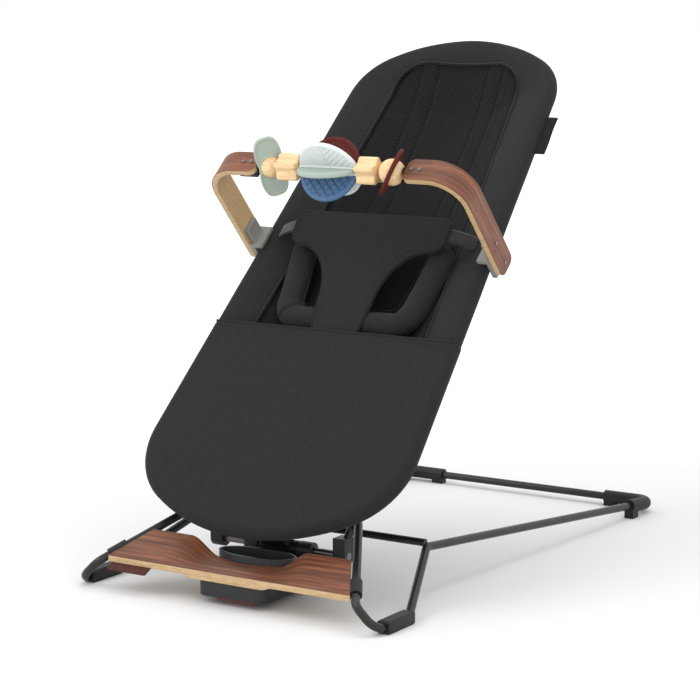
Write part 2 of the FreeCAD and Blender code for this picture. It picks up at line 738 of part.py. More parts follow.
def foot_panel():
    """Taut front of the foot pouch, on top of the hem."""
    bottom = TUBE_R + HEM_T + FABRIC_GAP
    plate = loop_plate(0, bottom, bottom + FOOT_PANEL_T)
    return plate.common(box(-SEAT_LENGTH, SEAT_LENGTH, -SEAT_LENGTH, FOOT_PANEL_S, 0, SEAT_LENGTH))


def infant_insert():
    """U-shaped bolster on the sling."""
    points = [V(INSERT_HALF, INSERT_TOP_S, INSERT_H), V(INSERT_HALF, INSERT_BOTTOM_S, INSERT_H),
              V(-INSERT_HALF, INSERT_BOTTOM_S, INSERT_H), V(-INSERT_HALF, INSERT_TOP_S, INSERT_H)]
    return bent_rod(points, INSERT_BEND_R, INSERT_R)


def harness_panel():
    """T-shaped panel that slopes up from the foot panel to the bar of the T."""
    right = [V(BIB_STEM_HALF, BIB_BOTTOM_S, 0), V(BIB_STEM_HALF, BIB_BAR_S, 0), V(BIB_HALF, BIB_BAR_S, 0),
             V(BIB_HALF, BIB_TOP_S, 0)]
    left = [V(-point.x, point.y, 0) for point in reversed(right)]
    round_r = BIB_CORNER_R
    radii = [0, BIB_FLARE_R, round_r, round_r, round_r, round_r, BIB_FLARE_R, 0]
    panel = Part.Face(rounded_outline(right + left, radii)).extrude(V(0, 0, BIB_T))
    slope = math.degrees(math.atan2(BIB_TOP_H - BIB_BOTTOM_H, BIB_TOP_S - BIB_BOTTOM_S))
    panel.translate(V(0, -BIB_BOTTOM_S, 0))
    panel.Placement = FreeCAD.Placement(V(0, BIB_BOTTOM_S, BIB_BOTTOM_H),
                                        FreeCAD.Rotation(V(1, 0, 0), slope)).multiply(panel.Placement)
    return panel


def harness_tab(side):
    """Webbing strap from the harness panel down to the hem."""
    share = (TAB_S - BIB_BOTTOM_S) / (BIB_TOP_S - BIB_BOTTOM_S)
    inner = V(BIB_HALF + FABRIC_GAP, 0, BIB_BOTTOM_H + share * (BIB_TOP_H - BIB_BOTTOM_H))
    outer = V(TAB_OUT_X, 0, TUBE_R + HEM_T + FABRIC_GAP)
    top = [V(inner.x, 0, inner.z + TAB_T), V(outer.x, 0, outer.z + TAB_T)]
    strap = Part.Face(Part.makePolygon([inner, outer] + top[::-1] + [inner])).extrude(V(0, TAB_WIDTH, 0))
    strap.translate(V(0, TAB_S - TAB_WIDTH / 2, 0))
    return mirrored(strap, side)


def side_label():
    """Plain woven label that stands out from the hem's right edge."""
    label = box(0, LABEL_WIDTH, -LABEL_LENGTH / 2, LABEL_LENGTH / 2, -LABEL_T / 2, LABEL_T / 2)
    label.Placement = FreeCAD.Placement(V(loop_half_width(LABEL_S, 0), LABEL_S, 0),
                                        FreeCAD.Rotation(V(0, 0, 1), SEAT_TAPER))
    return label


# ---------------------------------------------------------------- toy bar

def bar_place(shape):
    """Put a shape drawn with its legs along Z on the seat, with the bar's lean."""
    lean = FreeCAD.Placement(V(0, BAR_S, 0), FreeCAD.Rotation(V(1, 0, 0), -BAR_LEAN))
    placed = shape.copy()
    placed.Placement = lean.multiply(shape.Placement)
    return seat_place(placed)


def arm_layer(side, depth, thickness, cutters):
    """One layer of an arm: depth below its outer face, and its thickness."""
    out_x = ARM_OUT_X - depth
    top = ARM_TOP_H - depth
    corners = [V(ARM_END_X, top, 0), V(out_x, top, 0), V(out_x, ARM_BOTTOM_H, 0),
               V(out_x - thickness, ARM_BOTTOM_H, 0), V(out_x - thickness, top - thickness, 0),
               V(ARM_END_X, top - thickness, 0)]
    bend = ARM_BEND_R - depth
    outline = rounded_outline(corners, (0, bend, 0, 0, bend - thickness, 0))
    strip = Part.Face(outline).extrude(V(0, 0, ARM_WIDTH))
    strip.translate(V(0, 0, -ARM_WIDTH / 2))
    strip.rotate(V(0, 0, 0), V(1, 0, 0), 90)
    strip = fillet_where(strip, ARM_END_R, lambda edge: abs(edge.Length - thickness) < LENGTH_TOLERANCE)
    layer = mirrored(strip, side)
    for cutter in cutters:
        layer = layer.cut(cutter)
    return layer


def arm_bolts():
    """Two domed bolts through the inner end of each arm and its bracket."""
    bolts = []
    for side in SIDES.values():
        for x in BOLT_X:
            shank = cylinder_z(x, 0, ROD_AXIS_H - TOY_ROD_R - BOLT_BITE, ARM_TOP_H, BOLT_R)
            head = cylinder_z(x, 0, ARM_TOP_H, ARM_TOP_H + BOLT_HEAD_T, BOLT_HEAD_R)
            bolts.append(mirrored(fuse([shank, head]), side))
    return Part.makeCompound(bolts)


def clamp_screws():
    """Two small screws through each arm's leg into its clamp."""
    screws = []
    wall = ARM_OUT_X - ARM_CORE_T - ARM_VENEER_T
    for side in SIDES.values():
        for h in CLAMP_SCREW_H:
            shank = cylinder_x(wall - CLAMP_SCREW_BITE, ARM_OUT_X, 0, h, CLAMP_SCREW_R)
            head = cylinder_x(ARM_OUT_X, ARM_OUT_X + CLAMP_SCREW_HEAD_T, 0, h, CLAMP_SCREW_HEAD_R)
            screws.append(mirrored(fuse([shank, head]), side))
    return Part.makeCompound(screws)


def side_clamp(side, screws):
    """Clamp between an arm's leg and the seat's hem, open below so that it lifts off."""
    hem_top = TUBE_R + HEM_T + CLAMP_CLEARANCE
    out_x = ARM_OUT_X - ARM_CORE_T - ARM_VENEER_T
    wall_x = loop_half_width(BAR_S - CLAMP_JAW_WIDTH / 2, 0) + CLAMP_CLEARANCE / 2
    jaw_half = CLAMP_JAW_WIDTH / 2
    wall = box(wall_x, out_x, -jaw_half, jaw_half, ARM_BOTTOM_H, hem_top + CLAMP_T)
    roof = box(CLAMP_IN_X, out_x, -jaw_half, jaw_half, hem_top, hem_top + CLAMP_T)
    post = box(wall_x, out_x, -CLAMP_WIDTH / 2, CLAMP_WIDTH / 2, hem_top, CLAMP_TOP_H)
    return mirrored(fuse([wall, roof, post]), side).cut(screws)


def toy_rod():
    """Steel rod between the two end brackets."""
    return cylinder_x(-ARM_END_X + ROD_END_GAP, ARM_END_X - ROD_END_GAP, 0, ROD_AXIS_H, TOY_ROD_R)


def rod_bracket(side, cutters):
    """Black plate under an arm's end, with the lug that holds the rod."""
    plate_top = ARM_TOP_H - ARM_CORE_T - ARM_VENEER_T
    lug_x = ARM_END_X - ROD_END_GAP - LUG_T
    half = ARM_WIDTH / 2 - PLATE_MARGIN
    lug = cylinder_x(lug_x, lug_x + LUG_T, 0, ROD_AXIS_H, LUG_R)
    plate = box(lug_x, PLATE_OUT_X, -half, half, plate_top - PLATE_T, plate_top)
    plate = fillet_where(plate, ARM_END_R, lambda edge: abs(edge.Length - PLATE_T) < LENGTH_TOLERANCE
                         and edge.BoundBox.XMin > ARM_END_X)
    bracket = mirrored(fuse([plate, lug]), side)
    for cutter in cutters:
        bracket = bracket.cut(cutter)
    return bracket


def rod_bore():
    """Cutter for everything that turns on the rod."""
    return cylinder_x(-ARM_END_X, ARM_END_X, 0, ROD_AXIS_H, TOY_ROD_R + BORE_CLEARANCE)


def ball(x, radius):
    """Round bead on the rod, turned round its bore."""
    bore = TOY_ROD_R + BORE_CLEARANCE
    half = math.sqrt(radius ** 2 - bore ** 2)
    start = V(-half, 0, bore)
    end = V(half, 0, bore)
    edges = [Part.Arc(start, V(0, 0, radius), end).toShape(), Part.makeLine(end, start)]
    bead = Part.Face(Part.Wire(edges)).revolve(V(0, 0, 0), V(1, 0, 0), 360)
    bead.translate(V(x, 0, ROD_AXIS_H))
    return bead


def wing():
    """Flat two-lobe wing round the left ball."""
    plate = [box(-WING_WAIST / 2, WING_WAIST / 2, -WING_T / 2, WING_T / 2, -WING_LOBE_AT, WING_LOBE_AT)]
    for sign in (1, -1):
        centre = V(0, -WING_T / 2, sign * WING_LOBE_AT)
        plate.append(Part.makeCylinder(WING_LOBE_R, WING_T, centre, V(0, 1, 0)))
    whole = fuse(plate)
    whole.rotate(V(0, 0, 0), V(0, 0, 1), WING_PITCH)
    whole.rotate(V(0, 0, 0), V(1, 0, 0), WING_TURN)
    whole.translate(V(WING_X, 0, ROD_AXIS_H))
    return whole.cut(Part.makeSphere(WING_BALL_R, V(WING_X, 0, ROD_AXIS_H)))


def lobed_bead(span):
    """Lobed wooden spacer between two places on the rod."""
    points = []
    radii = []
    for index in range(2 * BEAD_LOBES):
        tip = index % 2 == 0
        reach = BEAD_TIP_R if tip else BEAD_VALLEY_R
        angle = math.pi * index / BEAD_LOBES
        points.append(V(reach * math.cos(angle), reach * math.sin(angle), 0))
        radii.append(BEAD_TIP_ROUND if tip else BEAD_VALLEY_ROUND)
    length = span[1] - span[0]
    bead = Part.Face(rounded_outline(points, radii)).extrude(V(0, 0, length))
    bead = fillet_where(bead, BEAD_EDGE_ROUND, lambda edge: edge.BoundBox.ZLength < length / 2)
    bead.rotate(V(0, 0, 0), V(0, 1, 0), 90)
    bead.translate(V(span[0], 0, ROD_AXIS_H))
    return bead.cut(rod_bore())


def fin_hub():
    """Hub that carries the fins."""
    half = math.sqrt(FIN_R ** 2 - FIN_HUB_R ** 2)
    return cylinder_x(FIN_X - half, FIN_X + half, 0, ROD_AXIS_H, FIN_HUB_R).cut(rod_bore())


def fin(index):
    """One half-disc fin, index steps round the rod."""
    disc = Part.makeCylinder(FIN_R, FIN_T, V(0, -FIN_T / 2, 0), V(0, 1, 0))
    disc = fillet_where(disc, FIN_EDGE_ROUND, lambda edge: edge.BoundBox.ZLength > FIN_R)
    half = disc.common(box(-FIN_R, FIN_R, -FIN_T, FIN_T, 0, FIN_R))
    half = half.cut(cylinder_x(-FIN_R, FIN_R, 0, 0, FIN_HUB_R))
    half.rotate(V(0, 0, 0), V(1, 0, 0), -FIN_FIRST_ANGLE - 360.0 * index / FIN_COUNT)
    half.translate(V(FIN_X, 0, ROD_AXIS_H))
    return half


def tilted_disc():
    """Thin disc round the right ball."""
    disc = Part.makeCylinder(DISC_R, DISC_T, V(-DISC_T / 2, 0, 0), V(1, 0, 0))
    disc = fillet_where(disc, DISC_EDGE_ROUND, lambda edge: edge.BoundBox.ZLength > DISC_R)
    disc.rotate(V(0, 0, 0), V(0, 1, 0), DISC_TILT)
    disc.translate(V(DISC_BALL_X, 0, ROD_AXIS_H))
    return disc.cut(Part.makeSphere(DISC_BALL_R, V(DISC_BALL_X, 0, ROD_AXIS_H)))


# ---------------------------------------------------------------- assembly

def base_nodes():
    """Nodes of the base."""
    nodes = {"base_rod_" + name: base_rod(side) for name, side in SIDES.items()}
    rods = list(nodes.values())
    nodes["rear_cross_tube"] = rear_tube()
    nodes["front_cross_bar"] = front_cross_bar(rods)
    shoe_cutters = rods + [nodes["rear_cross_tube"]]
    for name, side in SIDES.items():
        nodes["rear_shoe_" + name] = rear_shoe(side, shoe_cutters)
        nodes["front_foot_" + name] = front_foot(side, nodes["base_rod_" + name])
    nodes["foot_soles"] = foot_soles()
    return nodes


def carrier_nodes():
    """Nodes of the bounce carrier and its lock."""
    nodes = {"spring_arm_" + name: spring_arm(side) for name, side in SIDES.items()}
    up_screws = board_screws()
    plate_screws = hub_screws()
    outline = board_outline()
    core = board_layer(BOARD_VENEER_T, BOARD_CORE_T, BOARD_LIP_T)
    nodes["footboard_core"] = core.common(outline).cut(up_screws)
    nodes["footboard_veneer"] = board_layer(0, BOARD_VENEER_T).common(outline)
    for name, side in SIDES.items():
        arm = nodes["spring_arm_" + name]
        nodes["board_clip_" + name] = board_clip(side, arm)
        nodes["arm_socket_" + name] = arm_socket(side, arm)
    nodes["cross_shaft"] = cross_shaft()
    nodes["hub_housing"] = hub_housing(up_screws, nodes["footboard_core"])
    nodes["hub_base_plate"] = hub_base_plate(plate_screws)
    nodes["board_screws"] = up_screws
    nodes["hub_screws"] = plate_screws
    nodes["leather_tag"] = leather_tag()
    nodes["lock_slider"] = lock_slider()
    return nodes


def seat_nodes():
    """Nodes of the seat, drawn in the seat plane."""
    loop = loop_tube(TUBE_R)
    sling = whole_sling()
    cross_tube = seat_cross_tube(loop)
    nodes = {"seat_frame": loop, "seat_cross_tube": cross_tube, "hinge_bracket": hinge_bracket(cross_tube)}
    nodes["cover_hem"] = cover_hem()
    nodes["back_sling"] = sling.cut(mesh_prism(MESH_GAP))
    nodes["mesh_panel"] = sling.common(mesh_prism(0))
    nodes["foot_panel"] = foot_panel()
    nodes["infant_insert"] = infant_insert()
    nodes["harness_panel"] = harness_panel()
    for name, side in SIDES.items():
        nodes["harness_tab_" + name] = harness_tab(side)
    nodes["side_label"] = side_label()
    return nodes


def toy_nodes():
    """Nodes of the toy bar and its toys, drawn with the legs along Z."""
    bolts = arm_bolts()
    screws = clamp_screws()
    nodes = {"toy_rod": toy_rod(), "arm_bolts": bolts, "clamp_screws": screws}
    for name, side in SIDES.items():
        nodes["arm_core_" + name] = arm_layer(side, ARM_VENEER_T, ARM_CORE_T, (bolts, screws))
        nodes["arm_veneer_" + name] = arm_layer(side, 0, ARM_VENEER_T, (bolts, screws))
        nodes["side_clamp_" + name] = side_clamp(side, screws)
        nodes["rod_bracket_" + name] = rod_bracket(side, (bolts, nodes["toy_rod"]))
    nodes["wing_ball"] = ball(WING_X, WING_BALL_R)
    nodes["wing"] = wing()
    nodes["lobed_bead_left"] = lobed_bead(LEFT_BEAD)
    nodes["lobed_bead_right"] = lobed_bead(RIGHT_BEAD)
    nodes["fin_hub"] = fin_hub()
    nodes["fins_white"] = Part.makeCompound([fin(0), fin(3)])
    nodes["fins_sage"] = Part.makeCompound([fin(2), fin(5)])
    nodes["fin_maroon"] = fin(1)
    nodes["fin_blue"] = fin(4)
    nodes["disc_ball"] = ball(DISC_BALL_X, DISC_BALL_R)
    nodes["disc"] = tilted_disc()
    return nodes


def main():
    """Write every node."""
    os.makedirs("parts", exist_ok=True)
    nodes = {**base_nodes(), **carrier_nodes()}
    nodes.update({name: seat_place(shape) for name, shape in seat_nodes().items()})
    nodes.update({name: bar_place(shape) for name, shape in toy_nodes().items()})
    for name, shape in nodes.items():
        shape.exportStep("parts/" + name + ".step")
        bounds = shape.BoundBox
        corners = (bounds.XMin, bounds.XMax, bounds.YMin, bounds.YMax, bounds.ZMin, bounds.ZMax)
        print(name, len(shape.Solids), shape.isValid(), round(shape.Volume), [round(value, 1) for value in corners])


main()
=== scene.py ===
"""Bouncer seat: the finished look of a fabric sling seat on a sprung wire base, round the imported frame."""
from __future__ import annotations

import logging
import math
from dataclasses import dataclass, field
from enum import Enum
from typing import Sequence

import bmesh
import bpy
import numpy as np
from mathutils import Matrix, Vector


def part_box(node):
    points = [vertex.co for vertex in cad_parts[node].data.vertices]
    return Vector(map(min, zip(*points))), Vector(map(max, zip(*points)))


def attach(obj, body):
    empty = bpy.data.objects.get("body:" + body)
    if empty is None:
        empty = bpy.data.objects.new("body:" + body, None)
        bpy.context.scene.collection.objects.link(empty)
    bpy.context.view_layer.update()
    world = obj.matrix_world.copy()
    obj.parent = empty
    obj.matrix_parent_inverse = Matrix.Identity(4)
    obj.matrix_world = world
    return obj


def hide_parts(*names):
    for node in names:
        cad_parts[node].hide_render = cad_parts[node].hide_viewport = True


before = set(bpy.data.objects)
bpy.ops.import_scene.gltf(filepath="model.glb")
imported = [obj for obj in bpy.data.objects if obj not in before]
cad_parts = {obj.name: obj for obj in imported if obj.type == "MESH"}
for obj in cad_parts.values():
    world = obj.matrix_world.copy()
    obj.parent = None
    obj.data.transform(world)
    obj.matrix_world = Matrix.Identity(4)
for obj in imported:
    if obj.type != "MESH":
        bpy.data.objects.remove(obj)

LOG = logging.getLogger("bouncer")
MM = 0.001
MERGE = 1e-5
UV_NAME = "UVMap"
MOST_SIDES = 64
FLAT_ANGLE = math.radians(1.5)


# ---------------------------------------------------------------- small helpers

def linear(hex_colour: str) -> tuple[float, float, float, float]:
    """Turn an sRGB hex colour into linear RGBA.

    Args:
        hex_colour: six hex digits, such as "3a3c3d".

    Returns:
        Red, green, blue and alpha, linear.
    """
    channels = []
    for start in (0, 2, 4):
        value = int(hex_colour[start:start + 2], 16) / 255
        channels.append(value / 12.92 if value <= 0.04045 else ((value + 0.055) / 1.055) ** 2.4)
    return (*channels, 1.0)


class Axis(Enum):
    """The frame's axes."""

    X = 0
    Y = 1
    Z = 2


def span(node: str, axis: Axis) -> tuple[float, float]:
    """Where a CAD node begins and ends along an axis, in millimetres."""
    low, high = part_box(node)
    return low[axis.value] / MM, high[axis.value] / MM


def centre(node: str, axis: Axis) -> float:
    """Middle of a CAD node along an axis, in millimetres."""
    return sum(span(node, axis)) / 2


def smoothstep(low: float, high: float, value: np.ndarray) -> np.ndarray:
    """Smooth ramp from 0 at low to 1 at high."""
    share = np.clip((value - low) / (high - low), 0.0, 1.0)
    return share * share * (3 - 2 * share)


def add_node(tree: bpy.types.NodeTree, kind: str, inputs: dict | None = None,
             **settings: object) -> bpy.types.Node:
    """Add a node with its settings and links.

    Args:
        tree: the node tree.
        kind: the node's type name.
        inputs: socket name or index to a value, or to a socket that is linked to it.
        settings: attributes of the node.

    Returns:
        The new node.
    """
    node = tree.nodes.new(kind)
    for key, value in settings.items():
        setattr(node, key, value)
    for key, value in (inputs or {}).items():
        socket = node.inputs[key]
        if isinstance(value, bpy.types.NodeSocket):
            tree.links.new(value, socket)
        else:
            socket.default_value = value
    return node


def new_mesh(name: str, points: Sequence, faces: Sequence) -> bpy.types.Object:
    """Make a smooth mesh object at the origin.

    Args:
        name: the piece's name.
        points: places in the frame, in metres.
        faces: each face as the indices of its points.

    Returns:
        The object.
    """
    mesh = bpy.data.meshes.new(name)
    mesh.from_pydata([tuple(point) for point in points], [], [tuple(face) for face in faces])
    mesh.update()
    mesh.shade_smooth()
    piece = bpy.data.objects.new(name, mesh)
    bpy.context.scene.collection.objects.link(piece)
    return piece


def grid_piece(name: str, points: np.ndarray, uv: np.ndarray | None = None, close_rows: bool = False,
               close_columns: bool = False) -> bpy.types.Object:
    """Make a quad grid.

    Args:
        name: the piece's name.
        points: rows by columns by 3, in metres.
        uv: rows by columns by 2, in metres of cloth or veneer; written to the UV map.
        close_rows: join the last row to the first.
        close_columns: join the last column to the first.

    Returns:
        The object.
    """
    rows, columns = points.shape[:2]
    faces = []
    corners = []
    for row in range(rows if close_rows else rows - 1):
        for column in range(columns if close_columns else columns - 1):
            loop = [(row, column), (row, column + 1), (row + 1, column + 1), (row + 1, column)]
            faces.append([(r % rows) * columns + c % columns for r, c in loop])
            corners.extend(loop)
    piece = new_mesh(name, points.reshape(-1, 3), faces)
    if uv is not None:
        layer = piece.data.uv_layers.new(name=UV_NAME)
        for index, (row, column) in enumerate(corners):
            layer.data[index].uv = uv[row % uv.shape[0], column % uv.shape[1]]
    return piece


def apply_modifiers(piece: bpy.types.Object) -> None:
    """Turn the evaluated piece into its plain mesh.

    Args:
        piece: the object.
    """
    graph = bpy.context.evaluated_depsgraph_get()
    mesh = bpy.data.meshes.new_from_object(piece.evaluated_get(graph))
    piece.modifiers.clear()
    piece.data = mesh


def outward(piece: bpy.types.Object) -> None:
    """Merge doubles and point a closed mesh's faces outwards.

    Args:
        piece: the object.
    """
    work = bmesh.new()
    work.from_mesh(piece.data)
    bmesh.ops.remove_doubles(work, verts=work.verts, dist=MERGE)
    bmesh.ops.recalc_face_normals(work, faces=work.faces)
    work.to_mesh(piece.data)
    work.free()


def thicken(piece: bpy.types.Object, thickness: float, offset: float) -> None:
    """Close coincident seams of a sheet, then give it its thickness.

    Args:
        piece: the object.
        thickness: of the wall, in metres.
        offset: which side of the surface the wall lies on, from -1 to 1.
    """
    work = bmesh.new()
    work.from_mesh(piece.data)
    bmesh.ops.remove_doubles(work, verts=work.verts, dist=MERGE)
    work.to_mesh(piece.data)
    work.free()
    wall = piece.modifiers.new("wall", "SOLIDIFY")
    wall.thickness = thickness
    wall.offset = offset
    wall.use_even_offset = True
    apply_modifiers(piece)


def bevelled(piece: bpy.types.Object, width: float, segments: int = 3, angle: float = 35.0) -> None:
    """Round a mesh's sharp edges.

    Args:
        piece: the object.
        width: of the rounded edge, in metres.
        segments: faces across each rounded edge.
        angle: edges sharper than this are rounded.
    """
    edge = piece.modifiers.new("edge", "BEVEL")
    edge.width = width
    edge.segments = segments
    edge.limit_method = "ANGLE"
    edge.angle_limit = math.radians(angle)
    edge.use_clamp_overlap = True
    apply_modifiers(piece)
    piece.data.shade_smooth()


class Body(Enum):
    """The moving bodies of the frame."""

    BASE = "base"
    CARRIER = "carrier"
    LOCK = "lock"
    SEAT = "seat"
    TOY_BAR = "toy_bar"
    WING = "wing_toy"
    FINS = "fin_toy"
    DISC = "disc_toy"


def finish_piece(piece: bpy.types.Object, body: Body, slot: str, look: bpy.types.Material,
                 replaces: Sequence[str] = ()) -> bpy.types.Object:
    """Dress a piece, hide the CAD nodes that it stands for and let it ride on its body.

    Args:
        piece: the object.
        body: the body that it rides on.
        slot: not used.
        look: its finish.
        replaces: the CAD nodes that it stands for.

    Returns:
        The same object.
    """
    piece.data.materials.clear()
    piece.data.materials.append(look)
    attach(piece, body.value)
    if replaces:
        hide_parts(*replaces)
    LOG.info("%s rides on %s, %d faces", piece.name, body.value, len(piece.data.polygons))
    return piece


# ---------------------------------------------------------------- finishes

class Coordinates(Enum):
    """Where a pattern reads its place from."""

    OBJECT = "Object"
    UV = "UV"


@dataclass(frozen=True)
class Finish:
    """What every finish has."""

    name: str
    colour: str
    roughness: float

    def start(self) -> tuple[bpy.types.Material, bpy.types.NodeTree, bpy.types.Node]:
        """Make the material with its plain surface.

        Returns:
            The material, its tree and its Principled BSDF node.
        """
        material = bpy.data.materials.new(self.name)
        material.use_nodes = True
        tree = material.node_tree
        shader = tree.nodes["Principled BSDF"]
        shader.inputs["Base Color"].default_value = linear(self.colour)
        shader.inputs["Roughness"].default_value = self.roughness
        material.diffuse_color = linear(self.colour)
        return material, tree, shader

    def place(self, tree: bpy.types.NodeTree, where: Coordinates = Coordinates.OBJECT,
              scale: tuple[float, float, float] = (1, 1, 1)) -> bpy.types.NodeSocket:
        """Coordinates for a pattern.

        Args:
            tree: the material's tree.
            where: which coordinates, all in metres.
            scale: pattern units to the metre, along each axis.

        Returns:
            The socket that carries them.
        """
        source = add_node(tree, "ShaderNodeTexCoord")
        mapping = add_node(tree, "ShaderNodeMapping", {"Vector": source.outputs[where.value], "Scale": scale},
                           vector_type="POINT")
        return mapping.outputs["Vector"]

    def streaked(self, tree: bpy.types.NodeTree, where: Coordinates, width_mm: float,
                 stretch: float) -> bpy.types.NodeSocket:
        """Coordinates for marks of a width in millimetres, stretched along the first axis."""
        across = 1 / (width_mm * MM)
        return self.place(tree, where, (across / stretch, across, across))

    def bump(self, tree: bpy.types.NodeTree, shader: bpy.types.Node, height: bpy.types.NodeSocket,
             depth_mm: float) -> None:
        """Raise the surface by height times a depth in millimetres."""
        node = add_node(tree, "ShaderNodeBump",
                        {"Height": height, "Distance": depth_mm * MM, "Strength": 1.0})
        tree.links.new(node.outputs["Normal"], shader.inputs["Normal"])

    def uneven_gloss(self, tree: bpy.types.NodeTree, shader: bpy.types.Node, patch_mm: float, less: float,
                     more: float, detail: float = 2.0) -> None:
        """Let the roughness wander from patch to patch.

        Args:
            tree: the material's tree.
            shader: its Principled BSDF node.
            patch_mm: size of a patch.
            less: how far the roughness drops.
            more: how far it rises.
            detail: octaves of the pattern.
        """
        cloud = add_node(tree, "ShaderNodeTexNoise",
                         {"Vector": self.place(tree), "Scale": 1 / (patch_mm * MM),
                                                      "Detail": detail})
        rough = add_node(tree, "ShaderNodeMapRange", {"Value": cloud.outputs["Fac"],
                                                      "To Min": self.roughness - less,
                                                      "To Max": self.roughness + more})
        tree.links.new(rough.outputs["Result"], shader.inputs["Roughness"])

    def two_tone(self, tree: bpy.types.NodeTree, shader: bpy.types.Node, share: bpy.types.NodeSocket,
                 low: str, high: str, start: float = 0.0, end: float = 1.0) -> None:
        """Colour the surface between two hex colours.

        Args:
            tree: the material's tree.
            shader: its Principled BSDF node.
            share: 0 for the low colour, 1 for the high one.
            low: hex colour.
            high: hex colour.
            start: share up to which the low colour holds.
            end: share from which the high colour holds.
        """
        ramp = add_node(tree, "ShaderNodeValToRGB", {"Fac": share})
        ramp.color_ramp.elements[0].position = start
        ramp.color_ramp.elements[0].color = linear(low)
        ramp.color_ramp.elements[1].position = end
        ramp.color_ramp.elements[1].color = linear(high)
        tree.links.new(ramp.outputs["Color"], shader.inputs["Base Color"])


@dataclass(frozen=True)
class PowderCoat(Finish):
    """Sprayed and baked polyester powder on steel: satin, with a faint orange peel about 0.7 mm across."""

    peel_mm: float = 0.7
    peel_depth_mm: float = 0.03
    patch_mm: float = 40.0
    ior: float = 1.5

    def make(self) -> bpy.types.Material:
        """Build the material.

        Returns:
            The material.
        """
        material, tree, shader = self.start()
        shader.inputs["IOR"].default_value = self.ior
        peel = add_node(tree, "ShaderNodeTexNoise", {"Vector": self.place(tree), "Detail": 2.0,
                                                     "Scale": 1 / (self.peel_mm * MM)})
        self.bump(tree, shader, peel.outputs["Fac"], self.peel_depth_mm)
        self.uneven_gloss(tree, shader, self.patch_mm, 0.05, 0.07, 3.0)
        return material


@dataclass(frozen=True)
class Moulded(Finish):
    """Injection-moulded plastic: a fine spark-eroded grain, a little uneven in gloss."""

    grain_mm: float = 0.5
    grain_depth_mm: float = 0.03
    ior: float = 1.46
    specular: float = 0.5
    patch_mm: float = 25.0

    def make(self) -> bpy.types.Material:
        """Build the material.

        Returns:
            The material.
        """
        material, tree, shader = self.start()
        shader.inputs["IOR"].default_value = self.ior
        shader.inputs["Specular IOR Level"].default_value = self.specular
        grain = add_node(tree, "ShaderNodeTexNoise",
                         {"Vector": self.place(tree), "Detail": 3.0, "Roughness": 0.6,
                                                      "Scale": 1 / (self.grain_mm * MM)})
        self.bump(tree, shader, grain.outputs["Fac"], self.grain_depth_mm)
        self.uneven_gloss(tree, shader, self.patch_mm, 0.06, 0.06)
        return material


@dataclass(frozen=True)
class Wood(Finish):
    """Lacquered wood: long streaks of early and late growth, and short dark pores along the grain."""

    dark: str = "5a3528"
    light: str = "a8705a"
    streak_mm: float = 9.0
    stretch: float = 16.0
    pore_mm: float = 0.9
    where: Coordinates = Coordinates.OBJECT
    coat: float = 0.02
    coat_roughness: float = 0.35
    pore_stretch: float = 14.0
    pore_depth_mm: float = 0.04
    pore_share: float = 0.3

    def make(self) -> bpy.types.Material:
        """Build the material, with its grain along the pattern's first axis.

        Returns:
            The material.
        """
        material, tree, shader = self.start()
        shader.inputs["Coat Weight"].default_value = self.coat
        shader.inputs["Coat Roughness"].default_value = self.coat_roughness
        vector = self.streaked(tree, self.where, self.streak_mm, self.stretch)
        bend = add_node(tree, "ShaderNodeTexNoise", {"Vector": vector, "Scale": 0.6, "Detail": 2.0})
        moved = add_node(tree, "ShaderNodeVectorMath", {0: vector, 1: bend.outputs["Color"]}, operation="ADD")
        streaks = add_node(tree, "ShaderNodeTexNoise",
                           {"Vector": moved.outputs[0], "Scale": 1.0, "Detail": 5.0,
                                                        "Roughness": 0.62, "Distortion": 0.35})
        pore_vector = self.streaked(tree, self.where, self.pore_mm, self.pore_stretch)
        pores = add_node(tree, "ShaderNodeTexNoise", {"Vector": pore_vector, "Scale": 1.0, "Detail": 2.0})
        pore_mask = add_node(tree, "ShaderNodeMapRange", {"Value": pores.outputs["Fac"], "From Min": 0.36,
                                                          "From Max": 0.46})
        ramp = add_node(tree, "ShaderNodeValToRGB", {"Fac": streaks.outputs["Fac"]})
        stops = ramp.color_ramp.elements
        stops[0].position, stops[0].color = 0.33, linear(self.dark)
        stops[1].position, stops[1].color = 0.68, linear(self.light)
        middle = stops.new(0.52)
        middle.color = linear(self.colour)
        mixed = add_node(tree, "ShaderNodeMix", {0: pore_mask.outputs["Result"], 6: linear(self.dark),
                                                 7: ramp.outputs["Color"]}, data_type="RGBA")
        grained = add_node(tree, "ShaderNodeMix", {0: self.pore_share, 6: ramp.outputs["Color"],
                                                   7: mixed.outputs[2]}, data_type="RGBA")
        tree.links.new(grained.outputs[2], shader.inputs["Base Color"])
        self.bump(tree, shader, pore_mask.outputs["Result"], self.pore_depth_mm)
        return material


